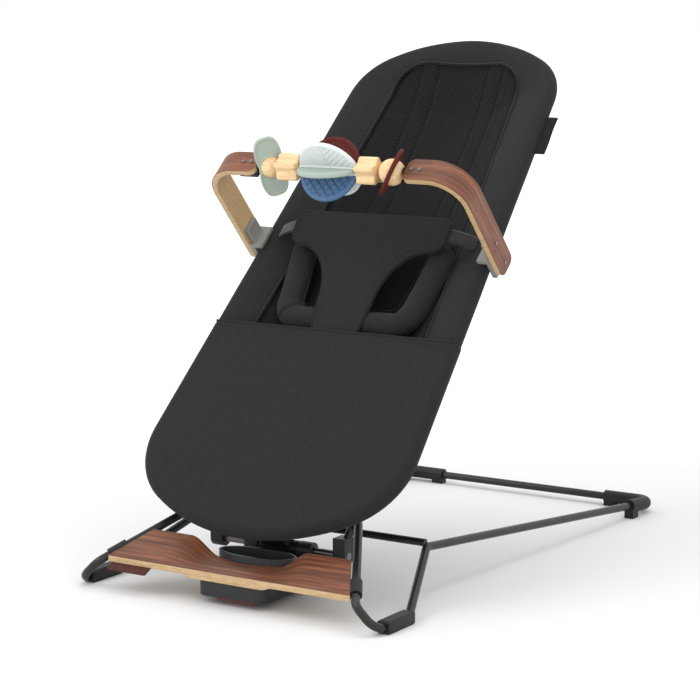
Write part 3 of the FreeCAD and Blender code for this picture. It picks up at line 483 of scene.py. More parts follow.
@dataclass(frozen=True)
class PlyEdge(Finish):
    """Cut edge of birch ply: thin veneers in turns of long and end grain, which read as fine stripes."""

    dark: str = "b08c5c"
    ply_mm: float = 1.4
    band_mm: tuple[float, float] = (100 / 3, 25 / 6)
    grain_mm: float = 10 / 9
    grain_stretch: float = 7.5
    grain_depth_mm: float = 0.04
    ply_share: float = 0.45

    def make(self) -> bpy.types.Material:
        """Build the material, with its plies stacked along the pattern's Z.

        Returns:
            The material.
        """
        material, tree, shader = self.start()
        fine = self.streaked(tree, Coordinates.OBJECT, self.grain_mm, self.grain_stretch)
        grain = add_node(tree, "ShaderNodeTexNoise", {"Vector": fine, "Scale": 1.0, "Detail": 4.0})
        broad = self.place(tree, Coordinates.OBJECT,
                           tuple(1 / (size * MM) for size in (*self.band_mm, self.ply_mm)))
        plies = add_node(tree, "ShaderNodeTexNoise", {"Vector": broad, "Scale": 0.7, "Detail": 2.0})
        both = add_node(tree, "ShaderNodeMix", {0: self.ply_share, 2: grain.outputs["Fac"],
                                                3: plies.outputs["Fac"]})
        self.two_tone(tree, shader, both.outputs[0], self.dark, self.colour, 0.32, 0.62)
        self.bump(tree, shader, grain.outputs["Fac"], self.grain_depth_mm)
        return material


@dataclass(frozen=True)
class Woven(Finish):
    """Plain-woven polyester: each thread crossing is a small bump, which gives a dull, even grain.

    Real threads lie about 0.5 mm apart; they are drawn up to 2.2 mm apart, as coarse as they need to show.
    """

    thread_mm: float = 2.2
    # Colour of the weave's low points between the threads: painted shade.
    dark: str = "232323"
    sheen: float = 0.25
    depth_mm: float = 0.26
    sheen_roughness: float = 0.5
    specular: float = 0.15
    slub_mm: float = 10 / 9
    slub_stretch: float = 10.0
    slub_share: float = 0.4

    def make(self) -> bpy.types.Material:
        """Build the material; the piece's UV map is in metres of cloth.

        Returns:
            The material.
        """
        material, tree, shader = self.start()
        shader.inputs["Sheen Weight"].default_value = self.sheen
        shader.inputs["Sheen Roughness"].default_value = self.sheen_roughness
        shader.inputs["Specular IOR Level"].default_value = self.specular
        turns = 2 * math.pi / (self.thread_mm * MM)
        vector = self.place(tree, Coordinates.UV, (turns, turns, 0))
        parts = add_node(tree, "ShaderNodeSeparateXYZ", {"Vector": vector})
        warp = add_node(tree, "ShaderNodeMath", {0: parts.outputs["X"]}, operation="SINE")
        weft = add_node(tree, "ShaderNodeMath", {0: parts.outputs["Y"]}, operation="SINE")
        crossing = add_node(tree, "ShaderNodeMath", {0: warp.outputs[0], 1: weft.outputs[0]},
                            operation="MULTIPLY")
        height = add_node(tree, "ShaderNodeMapRange", {"Value": crossing.outputs[0], "From Min": -1.0})
        slub_vector = self.streaked(tree, Coordinates.UV, self.slub_mm, self.slub_stretch)
        slub = add_node(tree, "ShaderNodeTexNoise", {"Vector": slub_vector, "Scale": 1.0, "Detail": 3.0})
        tone = add_node(tree, "ShaderNodeMix", {0: self.slub_share, 2: height.outputs["Result"],
                                                3: slub.outputs["Fac"]})
        # Low points of the weave take the dark colour as painted shade between the threads; the slub noise
        # mixed in is the cloth's own uneven tone.
        self.two_tone(tree, shader, tone.outputs[0], self.dark, self.colour, 0.2, 0.75)
        self.bump(tree, shader, height.outputs["Result"], self.depth_mm)
        return material


@dataclass(frozen=True)
class SpacerMesh(Finish):
    """Knitted spacer mesh: rows of open cells painted near-black as painted shade inside them, so it looks
    deeper than cloth.

    Real cells lie about 2 mm apart; they are drawn 3.8 mm apart, as coarse as they need to show.
    """

    cell_mm: float = 3.8
    # Colour of the open cells: painted shade inside them.
    dark: str = "020202"
    depth_mm: float = 0.9
    sheen: float = 0.05
    specular: float = 0.2
    hole_above: float = 1.1
    solid_below: float = -0.5
    row_angles: tuple[float, float, float] = (0, 60, 120)

    def make(self) -> bpy.types.Material:
        """Build the material; the piece's UV map is in metres of cloth.

        Returns:
            The material.
        """
        material, tree, shader = self.start()
        shader.inputs["Sheen Weight"].default_value = self.sheen
        shader.inputs["Specular IOR Level"].default_value = self.specular
        turns = 2 * math.pi / (self.cell_mm * MM)
        vector = self.place(tree, Coordinates.UV, (turns, turns, 0))
        waves = []
        for angle in self.row_angles:
            way = (math.cos(math.radians(angle)), math.sin(math.radians(angle)), 0)
            along = add_node(tree, "ShaderNodeVectorMath", {0: vector, 1: way}, operation="DOT_PRODUCT")
            waves.append(add_node(tree, "ShaderNodeMath", {0: along.outputs["Value"]}, operation="COSINE"))
        two = add_node(tree, "ShaderNodeMath", {0: waves[0].outputs[0], 1: waves[1].outputs[0]},
                       operation="ADD")
        three = add_node(tree, "ShaderNodeMath", {0: two.outputs[0], 1: waves[2].outputs[0]}, operation="ADD")
        solid = add_node(tree, "ShaderNodeMapRange", {"Value": three.outputs[0], "From Min": self.hole_above,
                                                      "From Max": self.solid_below})
        # The open cells take the near-black colour: painted shade inside the cells.
        self.two_tone(tree, shader, solid.outputs["Result"], self.dark, self.colour, 0.1, 0.9)
        self.bump(tree, shader, solid.outputs["Result"], self.depth_mm)
        return material


@dataclass(frozen=True)
class Leather(Finish):
    """Vegetable-tanned leather: pebbled grain about 1 mm across, darker in its creases."""

    dark: str = "2c110b"
    pebble_mm: float = 1.1
    pebble_depth_mm: float = 0.12
    crease: float = 0.16
    patch_mm: float = 50 / 3

    def make(self) -> bpy.types.Material:
        """Build the material.

        Returns:
            The material.
        """
        material, tree, shader = self.start()
        vector = self.place(tree)
        pebbles = add_node(tree, "ShaderNodeTexVoronoi",
                           {"Vector": vector, "Scale": 1 / (self.pebble_mm * MM)},
                           feature="DISTANCE_TO_EDGE")
        raised = add_node(tree, "ShaderNodeMapRange", {"Value": pebbles.outputs["Distance"],
                                                       "From Max": self.crease})
        patch = add_node(tree, "ShaderNodeTexNoise", {"Vector": vector, "Scale": 1 / (self.patch_mm * MM),
                                                      "Detail": 4.0})
        tone = add_node(tree, "ShaderNodeMix", {0: 0.5, 2: raised.outputs["Result"], 3: patch.outputs["Fac"]})
        self.two_tone(tree, shader, tone.outputs[0], self.dark, self.colour, 0.2, 0.8)
        self.bump(tree, shader, raised.outputs["Result"], self.pebble_depth_mm)
        return material


@dataclass(frozen=True)
class BrushedSteel(Finish):
    """Zinc-plated steel: a metal with fine turned lines."""

    line_mm: float = 1 / 3
    line_stretch: float = 10.0
    line_depth_mm: float = 0.02

    def make(self) -> bpy.types.Material:
        """Build the material.

        Returns:
            The material.
        """
        material, tree, shader = self.start()
        shader.inputs["Metallic"].default_value = 1.0
        vector = self.streaked(tree, Coordinates.OBJECT, self.line_mm, self.line_stretch)
        lines = add_node(tree, "ShaderNodeTexNoise", {"Vector": vector, "Scale": 1.0, "Detail": 2.0})
        self.bump(tree, shader, lines.outputs["Fac"], self.line_depth_mm)
        return material


@dataclass
class Looks:
    """Every finish on the seat, each made once."""

    made: dict[str, bpy.types.Material] = field(default_factory=dict)

    def build(self) -> None:
        """Make the materials."""
        finishes = [
            PowderCoat("black_powder_coat", "141516", 0.32),
            Moulded("black_nylon", "101112", 0.55),
            Moulded("black_rubber", "1b1b1c", 0.8, 0.9, 0.05),
            Moulded("charcoal_abs", "242628", 0.45),
            Moulded("grey_abs", "858380", 0.5),
            Moulded("red_abs", "981f1c", 0.4),
            Wood("walnut_veneer", "77452d", 0.48, "4c2b1c", "9a613f", 4.6, 26.0, 0.8, Coordinates.UV),
            Wood("beech", "efcf9c", 0.5, "dcb888", "f5dab0", 3.4, 8.0, 0.8),
            PlyEdge("birch_ply", "d3b68d", 0.5),
            Leather("tan_leather", "562416", 0.75),
            BrushedSteel("zinc_steel", "85837f", 0.36),
            Woven("woven_charcoal", "343435", 0.95, dark="0f0f0f", sheen=0.05),
            Woven("woven_label", "161617", 0.8, 0.8, "0b0b0b", 0.1, 0.08),
            Woven("webbing_grey", "2e2f30", 0.85, 2.2, "1c1c1c", 0.3, 0.3),
            SpacerMesh("spacer_mesh", "1b1b1c", 0.92),
            Moulded("sage_silicone", "a9b7ac", 0.6, 0.6, 0.02, 1.41, 0.25),
            Moulded("white_silicone", "dde2e3", 0.6, 0.6, 0.02, 1.41, 0.25),
            Moulded("blue_silicone", "527196", 0.6, 0.6, 0.02, 1.41, 0.25),
            Moulded("maroon_silicone", "5a211b", 0.6, 0.6, 0.02, 1.41, 0.2),
            Woven("webbing_dark", "1d1d1e", 0.85, 1.2, "0d0d0d", 0.2, 0.1),
            Woven("woven_edge", "2a2a2b", 0.9, 1.5, "0e0e0e", 0.04, 0.12),
            # Cloth of the insert pad: dark cloth, painted darker still as painted shade in the bolster's
            # hollow.
            Woven("woven_pad_painted_shade", "151516", 0.95, 2.2, "060606", 0.02, 0.16),
            Moulded("thread_dark", "1a1a1a", 0.7, 0.3, 0.02),
        ]
        for finish in finishes:
            self.made[finish.name] = finish.make()

    def __getitem__(self, name: str) -> bpy.types.Material:
        """The finish of that name."""
        return self.made[name]


# ---------------------------------------------------------------- seat plane

@dataclass(frozen=True)
class SeatPlane:
    """The tilted plane of the seat: x across, s along it from the foot end, h out of it, in millimetres."""

    tilt: float = math.radians(45.27)
    foot_y: float = -363.4
    foot_z: float = 87.8
    length: float = 852.5
    foot_half: float = 209.8
    taper: float = math.radians(3.39)
    crown_r: float = 233.0
    crown_corner_r: float = 90.0
    foot_crown_r: float = 288.0
    foot_corner_r: float = 110.0
    tube_r: float = 8.0
    hem_t: float = 2.0
    sag_depth: float = 40.0
    sag_power: float = 0.6
    hem_rise: float = 1.6
    hem_end: float = 64.0
    bowl_start: float = 14.0
    bowl_end: float = 118.0
    bowl_inset: float = 26.0
    least_half: float = 20.0

    def place(self, points: np.ndarray) -> np.ndarray:
        """Turn (x, s, h) in millimetres into metres in the frame.

        Args:
            points: points in the plane's own millimetres.

        Returns:
            Points in the frame, in metres.
        """
        points = np.asarray(points, float)
        x, s, h = points[..., 0], points[..., 1], points[..., 2]
        sine, cosine = math.sin(self.tilt), math.cos(self.tilt)
        y = self.foot_y + s * cosine - h * sine
        z = self.foot_z + s * sine + h * cosine
        return np.stack([x, y, z], -1) * MM

    def corner(self, corner_r: float, crown_centre: float, crown_r: float, sign: int) -> np.ndarray:
        """Centre of a corner arc, tangent to the slanted side and to the crown.

        Args:
            corner_r: radius of the corner.
            crown_centre: where the crown's arc is centred.
            crown_r: radius of the crown's arc.
            sign: 1 on the right, -1 on the left.

        Returns:
            Points of the corner.
        """
        sine, cosine = math.sin(self.taper), math.cos(self.taper)
        reach = self.foot_half * cosine - corner_r
        gap = crown_r - corner_r
        middle = reach * sine + crown_centre * cosine ** 2
        rest = reach ** 2 + (crown_centre ** 2 - gap ** 2) * cosine ** 2
        along = middle + sign * math.sqrt(middle ** 2 - rest)
        return np.array([(reach - along * sine) / cosine, along])

    def outline(self, count: int) -> tuple[np.ndarray, np.ndarray]:
        """The hem's outside edge, evenly spaced.

        Args:
            count: how many points, anticlockwise from the middle of the foot end.

        Returns:
            Points (count, 2) and outward normals (count, 2), both as (x, s).
        """
        points, normals = [], []
        rows = ((self.foot_corner_r, self.foot_crown_r, self.foot_crown_r, -1, -math.pi / 2),
                (self.crown_corner_r, self.length - self.crown_r, self.crown_r, 1, math.pi / 2))
        step = math.radians(0.5)
        for corner_r, crown_centre, crown_r, sign, middle in rows:
            centre = self.corner(corner_r, crown_centre, crown_r, sign)
            to_crown = centre - np.array([0, crown_centre])
            turn = math.atan2(to_crown[1], to_crown[0])
            crown = [(np.array([0, crown_centre]), crown_r, middle, turn)]
            arcs = crown + [(centre, corner_r, turn, self.taper)]
            if sign == 1:
                arcs = [(c, r, b, a) for c, r, a, b in reversed(arcs)]
            for c, r, first, last in arcs:
                for angle in np.linspace(first, last, max(2, int(abs(last - first) / step))):
                    way = np.array([math.cos(angle), math.sin(angle)])
                    points.append(c + way * r)
                    normals.append(way)
        half, half_n = np.array(points), np.array(normals)
        flip = np.array([-1, 1])
        points = np.concatenate([half, (half * flip)[::-1]])
        normals = np.concatenate([half_n, (half_n * flip)[::-1]])
        run = np.concatenate([[0], np.cumsum(np.linalg.norm(np.roll(points, -1, 0) - points, axis=1))])
        wanted = np.linspace(0, run[-1], count, endpoint=False)
        loop_p = np.vstack([points, points[:1]])
        loop_n = np.vstack([normals, normals[:1]])
        even = np.stack([np.interp(wanted, run, loop_p[:, axis]) for axis in (0, 1)], -1)
        even_n = np.stack([np.interp(wanted, run, loop_n[:, axis]) for axis in (0, 1)], -1)
        return even, even_n / np.linalg.norm(even_n, axis=1, keepdims=True)

    def half_width(self, s: np.ndarray, inset: float = 0.0) -> np.ndarray:
        """Half of the seat's width at s, inside an inset outline.

        Args:
            s: distance up the seat.
            inset: distance in from the tube's middle line.

        Returns:
            Half the width at each distance.
        """
        points, normals = self.outline(720)
        right = points[:, 0] >= 0
        edge = (points - normals * inset)[right]
        order = np.argsort(edge[:, 1])
        return np.interp(s, edge[order, 1], edge[order, 0], left=0.0, right=0.0)

    def sag(self, s: np.ndarray) -> np.ndarray:
        """Depth of the sling below the plane on the middle line."""
        share = np.clip(np.sin(np.pi * np.clip(s, 1, self.length - 1) / self.length), 0, 1)
        return self.sag_depth * share ** self.sag_power

    def sling_height(self, x: np.ndarray, s: np.ndarray, inset: np.ndarray) -> np.ndarray:
        """Height of the cover's front face, from the tube's top down into the sling.

        Args:
            x: distance sideways from the middle.
            s: distance up the seat.
            inset: distance in from the tube's middle line.

        Returns:
            Height over the plane.
        """
        width = np.maximum(self.half_width(s, self.bowl_inset), self.least_half)
        bowl = self.sag(s) * np.clip(1 - (x / width) ** 2, 0, 1)
        near = 1 - smoothstep(self.tube_r + self.hem_t, self.hem_end, inset)
        rise = (self.tube_r + self.hem_rise) * near
        return rise - bowl * smoothstep(self.bowl_start, self.bowl_end, inset)

    def inset(self, x: np.ndarray, s: np.ndarray) -> np.ndarray:
        """Distance inwards from the hem's outside edge, for points (x, s).

        Args:
            x: distance sideways from the middle.
            s: distance up the seat.

        Returns:
            Distance in from the tube's middle line.
        """
        edge, _ = self.outline(900)
        flat = np.stack([np.ravel(x), np.ravel(s)], -1)
        out = np.empty(len(flat))
        batch = 4000
        for start in range(0, len(flat), batch):
            part = flat[start:start + batch]
            out[start:start + batch] = np.linalg.norm(part[:, None] - edge[None], axis=2).min(1)
        return out.reshape(np.shape(x))

    def fabric_height(self, x: np.ndarray, s: np.ndarray) -> np.ndarray:
        """Height of the cover's front face at (x, s)."""
        return self.sling_height(x, s, self.inset(x, s))


def slab(name: str, upper: np.ndarray, lower: np.ndarray, uv: np.ndarray | None = None) -> bpy.types.Object:
    """Closed plate between two grids of the same size.

    Args:
        name: the piece's name.
        upper: rows by columns by 3, in metres.
        lower: the face opposite, with the same rows and columns.
        uv: rows by columns by 2 for both faces, in metres.

    Returns:
        The object.
    """
    rows, columns = upper.shape[:2]
    count = rows * columns
    faces = []
    for row in range(rows - 1):
        for column in range(columns - 1):
            loop = [row * columns + column, row * columns + column + 1,
                    (row + 1) * columns + column + 1, (row + 1) * columns + column]
            faces.append(loop)
            faces.append([index + count for index in reversed(loop)])
    rim = [c for c in range(columns)] + [r * columns + columns - 1 for r in range(1, rows)]
    rim += [(rows - 1) * columns + c for c in range(columns - 2, -1, -1)]
    rim += [r * columns for r in range(rows - 2, 0, -1)]
    for here, there in zip(rim, rim[1:] + rim[:1]):
        faces.append([there, here, here + count, there + count])
    piece = new_mesh(name, np.concatenate([upper.reshape(-1, 3), lower.reshape(-1, 3)]), faces)
    if uv is not None:
        flat = uv.reshape(-1, 2)
        layer = piece.data.uv_layers.new(name=UV_NAME)
        for index, loop in enumerate(piece.data.loops):
            layer.data[index].uv = flat[loop.vertex_index % count]
    outward(piece)
    return piece


def close_ends(piece: bpy.types.Object) -> None:
    """Cap a tube's two open ends, and point its faces outwards.

    Args:
        piece: the tube.
    """
    work = bmesh.new()
    work.from_mesh(piece.data)
    bmesh.ops.holes_fill(work, edges=[edge for edge in work.edges if edge.is_boundary], sides=MOST_SIDES)
    work.to_mesh(piece.data)
    work.free()
    outward(piece)


def tube(name: str, path: np.ndarray, radius: float, sides: int = 10) -> bpy.types.Object:
    """Round piping along an open path.

    Args:
        name: the piece's name.
        path: points in metres.
        radius: in metres.
        sides: points round the section.

    Returns:
        The object.
    """
    way = np.gradient(path, axis=0)
    way /= np.linalg.norm(way, axis=1, keepdims=True)
    up = np.array([0.0, 0.0, 1.0]) if abs(way[0][2]) < 0.9 else np.array([1.0, 0.0, 0.0])
    frames = []
    side = np.cross(up, way[0])
    for index in range(len(path)):
        side = side - way[index] * np.dot(side, way[index])
        side /= np.linalg.norm(side)
        frames.append((side, np.cross(way[index], side)))
    angles = np.linspace(0, 2 * math.pi, sides, endpoint=False)
    rings = [[path[i] + radius * (math.cos(a) * f[0] + math.sin(a) * f[1]) for a in angles]
             for i, f in enumerate(frames)]
    piece = grid_piece(name, np.array(rings), close_columns=True)
    close_ends(piece)
    return piece


def softened(name: str, node: str, width: float, segments: int = 3) -> bpy.types.Object:
    """Copy a node's mesh with its sharp edges rounded, for a moulded part that the node stands in for.

    Args:
        name: the piece's name.
        node: the CAD node.
        width: of the rounded edge, in metres.
        segments: faces across each rounded edge.

    Returns:
        The new object.
    """
    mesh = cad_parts[node].data.copy()
    mesh.name = name
    mesh.materials.clear()
    piece = bpy.data.objects.new(name, mesh)
    bpy.context.scene.collection.objects.link(piece)
    work = bmesh.new()
    work.from_mesh(mesh)
    bmesh.ops.remove_doubles(work, verts=work.verts, dist=2 * MERGE)
    bmesh.ops.dissolve_limit(work, angle_limit=FLAT_ANGLE, verts=work.verts, edges=work.edges)
    bmesh.ops.recalc_face_normals(work, faces=work.faces)
    work.to_mesh(mesh)
    work.free()
    bevelled(piece, width, segments)
    return piece


# ---------------------------------------------------------------- stitching

@dataclass
class StitchRun:
    """Lock-stitch along lines on the cloth: one short thread per stitch, half sunk."""

    pitch: float = 5.0
    length: float = 3.6
    thread_r: float = 0.45

    def sizes(self) -> dict[str, float]:
        """The tree's named inputs and their values, in metres."""
        return {"Pitch": self.pitch * MM, "Stitch Length": self.length * MM,
                "Thread Radius": self.thread_r * MM}

    def tree(self, look: bpy.types.Material) -> bpy.types.NodeTree:
        """Geometry Nodes tree that lays threads along the edges of the host mesh.

        Args:
            look: its finish.

        Returns:
            The node tree.
        """
        tree = bpy.data.node_groups.new("stitches", "GeometryNodeTree")
        tree.interface.new_socket("Geometry", in_out="INPUT", socket_type="NodeSocketGeometry")
        for label in self.sizes():
            tree.interface.new_socket(label, in_out="INPUT", socket_type="NodeSocketFloat")
        tree.interface.new_socket("Geometry", in_out="OUTPUT", socket_type="NodeSocketGeometry")
        given = add_node(tree, "NodeGroupInput")
        curve = add_node(tree, "GeometryNodeMeshToCurve", {"Mesh": given.outputs["Geometry"]})
        spaced = add_node(tree, "GeometryNodeResampleCurve", {"Curve": curve.outputs["Curve"],
                                                              "Length": given.outputs["Pitch"]},
                                                              mode="LENGTH")
        tangent = add_node(tree, "GeometryNodeInputTangent")
        aim = add_node(tree, "FunctionNodeAlignEulerToVector", {"Vector": tangent.outputs["Tangent"]},
                       axis="Z")
        thread = add_node(tree, "GeometryNodeMeshUVSphere", {"Segments": 6, "Rings": 4,
                                                            "Radius": given.outputs["Thread Radius"]})
        half = add_node(tree, "ShaderNodeMath", {0: given.outputs["Stitch Length"],
                                                 1: given.outputs["Thread Radius"]}, operation="DIVIDE")
        halved = add_node(tree, "ShaderNodeMath", {0: half.outputs[0], 1: 2.0}, operation="DIVIDE")
        size = add_node(tree, "ShaderNodeCombineXYZ", {"X": 1.0, "Y": 1.0, "Z": halved.outputs[0]})
        placed = add_node(tree, "GeometryNodeInstanceOnPoints", {"Points": spaced.outputs["Curve"],
                                                                 "Instance": thread.outputs["Mesh"],
                                                                 "Rotation": aim.outputs["Rotation"],
                                                                 "Scale": size.outputs["Vector"]})
        real = add_node(tree, "GeometryNodeRealizeInstances", {"Geometry": placed.outputs["Instances"]})
        dressed = add_node(tree, "GeometryNodeSetMaterial", {"Geometry": real.outputs["Geometry"],
                                                             "Material": look})
        add_node(tree, "NodeGroupOutput", {"Geometry": dressed.outputs["Geometry"]})
        return tree

    def build(self, name: str, lines: Sequence[np.ndarray], look: bpy.types.Material) -> bpy.types.Object:
        """Sew along lines on the seat.

        Args:
            name: the piece's name.
            lines: polylines in metres.
            look: the thread's finish.

        Returns:
            One mesh of all the stitches.
        """
        points, edges = [], []
        for line in lines:
            start = len(points)
            points.extend(tuple(point) for point in line)
            edges.extend((start + i, start + i + 1) for i in range(len(line) - 1))
        mesh = bpy.data.meshes.new(name)
        mesh.from_pydata(points, edges, [])
        piece = bpy.data.objects.new(name, mesh)
        bpy.context.scene.collection.objects.link(piece)
        tree = self.tree(look)
        modifier = piece.modifiers.new("stitches", "NODES")
        modifier.node_group = tree
        sizes = self.sizes()
        for item in tree.interface.items_tree:
            if item.in_out == "INPUT" and item.name in sizes:
                modifier[item.identifier] = sizes[item.name]
        apply_modifiers(piece)
        piece.data.shade_smooth()
        return finish_piece(piece, Body.SEAT, "webbing", look)


# ---------------------------------------------------------------- cloth of the seat

@dataclass
class Cover:
    """Fabric cover: a sleeve round the loop that runs into the back sling, a mesh panel, and a foot pouch."""

    plane: SeatPlane
    looks: Looks
    around: int = 480
    sleeve_r: float = 9.6
    wall: float = 1.2
    seam_inset: float = 34.0
    mesh_top: float = 808.0
    mesh_bottom: float = 270.0
    mesh_top_half: float = 97.0
    mesh_bottom_half: float = 139.0
    mesh_corner_r: float = 45.0
    lap: float = 7.0
    foot_s: float = 318.5
    pull: float = 0.35
    mesh_wall: float = 2.2
    channel_seams: tuple[float, float] = (40.0, 66.0)
    channel_middle: float = 53.0
    channel_half: float = 26.0
    pouch_lift: float = 1.2
    belly: float = 1.6
    trim_start: float = 12.0
    piping_r: float = 1.9
    hem_r: float = 1.7
    label_half: float = 33.0
    label_out: float = 17.0
    label_wall: float = 1.2

    def mesh_half(self, s: np.ndarray, grow: float = 0.0) -> np.ndarray:
        """Half width of the mesh panel's outline at s, grown outwards.

        Args:
            s: distance up the seat.
            grow: distance outwards.

        Returns:
            Half the panel's width.
        """
        top = self.mesh_top + grow
        share = (s - self.mesh_bottom) / (self.mesh_top - self.mesh_bottom)
        half = self.mesh_bottom_half + (self.mesh_top_half - self.mesh_bottom_half) * share + grow
        radius = self.mesh_corner_r + grow
        into = np.clip(s - (top - radius), 0, radius)
        return half - (radius - np.sqrt(np.maximum(radius ** 2 - into ** 2, 0)))

    def mesh_outline(self, grow: float = 0.0) -> np.ndarray:
        """Closed outline of the mesh panel as (x, s), from the bottom middle anticlockwise.

        Args:
            grow: distance outwards.

        Returns:
            Points of the outline.
        """
        bottom, top = self.mesh_bottom - grow, self.mesh_top + grow
        radius = self.mesh_corner_r + grow
        low = np.linspace(bottom, top - radius, 120)
        bend = top - radius + radius * np.sin(np.linspace(0, math.pi / 2, 40))
        s = np.concatenate([low, bend[1:]])
        right = np.stack([self.mesh_half(s, grow), s], -1)
        across = np.linspace(0, right[0, 0], 60)[:-1]
        foot = np.stack([across, np.full(len(across), bottom)], -1)
        over = np.linspace(right[-1, 0], 0, 30)[1:]
        crown = np.stack([over, np.full(len(over), top)], -1)
        half = np.concatenate([foot, right, crown])
        other = half[1:-1][::-1] * np.array([-1, 1])
        return np.concatenate([half, other])

    def facing(self, count: int) -> tuple[np.ndarray, np.ndarray, np.ndarray]:
        """Outline samples, their normals, and the point of the mesh outline that each one faces.

        Args:
            count: how many points.

        Returns:
            Points, normals, and where the sleeve meets the panel.
        """
        edge, normals = self.plane.outline(count)
        middle = np.array([0.0, (self.mesh_bottom + self.mesh_top) / 2])
        inner = self.mesh_outline()
        away = inner - middle
        angles = np.unwrap(np.arctan2(away[:, 1], away[:, 0]))
        wanted = np.unwrap(np.arctan2(edge[:, 1] - middle[1], edge[:, 0]))
        wanted += 2 * math.pi * round((angles[0] - wanted[0]) / (2 * math.pi))
        turns = np.concatenate([angles - 2 * math.pi, angles, angles + 2 * math.pi])
        many = np.concatenate([inner, inner, inner])
        met = np.stack([np.interp(wanted, turns, many[:, axis]) for axis in (0, 1)], -1)
        return edge, normals, met

    def build_back(self) -> bpy.types.Object:
        """Sleeve and back of the cover in one cloth, from the seam behind the loop to the mesh panel.

        Returns:
            The object.
        """
        edge, normals, met = self.facing(self.around)
        radius = self.sleeve_r
        axis_inset = self.plane.tube_r + self.plane.hem_t
        seam = edge - normals * (self.seam_inset + 3)
        rows = [np.column_stack([seam, self.plane.fabric_height(seam[:, 0], seam[:, 1]) - 1.4])]
        cloth = [edge - normals * (2 * axis_inset - self.seam_inset - 9 - math.pi * radius)]
        for inset, height in ((self.seam_inset, -4.0), (31.0, -8.0), (22.0, -9.0), (16.0, -9.4)):
            flat = edge - normals * inset
            rows.append(np.column_stack([flat, np.full(len(flat), height)]))
            cloth.append(edge - normals * (2 * axis_inset - inset - math.pi * radius))
        for angle in np.linspace(-90, 90, 19):
            turn = math.radians(angle)
            flat = edge - normals * (axis_inset - radius * math.cos(turn))
            rows.append(np.column_stack([flat, np.full(len(flat), radius * math.sin(turn))]))
            cloth.append(edge - normals * (axis_inset - radius * (math.pi / 2 - turn)))
        start = edge - normals * axis_inset
        for share in np.linspace(0, 1, 30)[1:] ** 1.15:
            flat = start + (met - start) * share
            height = self.plane.fabric_height(flat[:, 0], flat[:, 1])
            rows.append(np.column_stack([flat, height]))
            cloth.append(flat)
        points = self.plane.place(np.array(rows))
        piece = grid_piece("back_cover", points, np.array(cloth) * MM, close_columns=True)
        self.ripple(piece)
        thicken(piece, self.wall * MM, 0.0)
        return self.declare(piece, "woven_charcoal", "woven_fabric", ("cover_hem", "back_sling"))

    def ripple(self, piece: bpy.types.Object) -> None:
        """Small pulls of the stretched cloth, under a millimetre.

        Args:
            piece: the object.
        """
        way = Vector((0, -math.sin(self.plane.tilt), math.cos(self.plane.tilt)))
        for vertex in piece.data.vertices:
            x, y, z = vertex.co / MM
            pull = math.sin(x / 17 + math.sin(z / 41) * 2) * math.sin(z / 29 + x / 60)
            vertex.co += way * (self.pull * pull * MM)

    def declare(self, piece: bpy.types.Object, look: str, slot: str, nodes: Sequence[str]) -> bpy.types.Object:
        """Args:
            piece: the object.
            look: its finish.
            slot: the record's material slot.
            nodes: the CAD nodes that it stands for.

        Returns:
            The object.
        """
        finish_piece(piece, Body.SEAT, slot, self.looks[look], nodes)
        return piece

    def build_mesh(self) -> bpy.types.Object:
        """Spacer-mesh panel, quilted into vertical channels by its seams.

        Returns:
            The object.
        """
        s = np.concatenate([np.linspace(self.mesh_bottom, self.mesh_top - 20, 150),
                            self.mesh_top - 20 + (20 + self.lap) * np.sin(np.linspace(0, math.pi / 2,
                                                                                      24))[1:]])
        u = np.linspace(-1, 1, 130)
        half = self.mesh_half(s, self.lap)
        x = half[:, None] * u[None]
        along = np.repeat(s[:, None], len(u), 1)
        height = self.plane.fabric_height(x, along) - 1.4
        border = np.abs(self.mesh_half(s)[:, None] - np.abs(x))
        height -= 2.6 * np.exp(-(border / 6.0) ** 2)
        for seam in self.channel_seams:
            height -= 1.9 * np.exp(-((np.abs(x) - seam) / 3.0) ** 2)
        puff = np.clip((np.abs(x) - self.channel_middle) / self.channel_half, -1, 1)
        height += 1.1 * np.cos(puff * math.pi / 2) ** 2
        height += 0.5 * np.sin(along / 23) * np.cos(x / 31)
        points = self.plane.place(np.stack([x, along, height], -1))
        piece = grid_piece("mesh_back", points, np.stack([x, along], -1) * MM)
        thicken(piece, self.mesh_wall * MM, -1.0)
        return self.declare(piece, "spacer_mesh", "mesh_fabric", ("mesh_panel",))

    def build_foot(self) -> bpy.types.Object:
        """Front of the foot pouch: a taut cloth over the loop with a straight hemmed edge.

        Returns:
            The object.
        """
        border, ways = self.pouch_border(120)
        radius = self.sleeve_r + self.pouch_lift
        axis_inset = self.plane.tube_r + self.plane.hem_t
        rows, cloth = [], []
        for k, share in enumerate(np.linspace(0, 1, len(border))):
            row, cut = [], []
            for turn in np.radians(np.linspace(-75, 90, 14)):
                flat = border[k] - ways[k] * (axis_inset - radius * math.cos(turn))
                row.append((flat[0], flat[1], radius * math.sin(turn)))
                cut.append(border[k] - ways[k] * (axis_inset - radius * (math.pi / 2 - turn)))
            inner = border[k] - ways[k] * axis_inset
            middle_s = axis_inset + (self.foot_s - axis_inset) * share
            for t in np.linspace(0, 1, 26)[1:]:
                s = inner[1] + (middle_s - inner[1]) * t
                belly = self.belly * math.sin(math.pi * t / 2) * math.sin(math.pi * min(s / self.foot_s, 1))
                row.append((inner[0] * (1 - t), s, radius + belly))
                cut.append((inner[0] * (1 - t), s))
            rows.append(row)
            cloth.append(cut)
        right, right_uv = np.array(rows), np.array(cloth)
        left = (right * np.array([-1, 1, 1]))[:, ::-1][:, 1:]
        left_uv = (right_uv * np.array([-1, 1]))[:, ::-1][:, 1:]
        whole = self.plane.place(np.concatenate([right, left], 1))
        piece = grid_piece("foot_pouch_front", whole, np.concatenate([right_uv, left_uv], 1) * MM)
        thicken(piece, self.wall * MM, 0.0)
        return self.declare(piece, "woven_charcoal", "woven_fabric", ("foot_panel",))

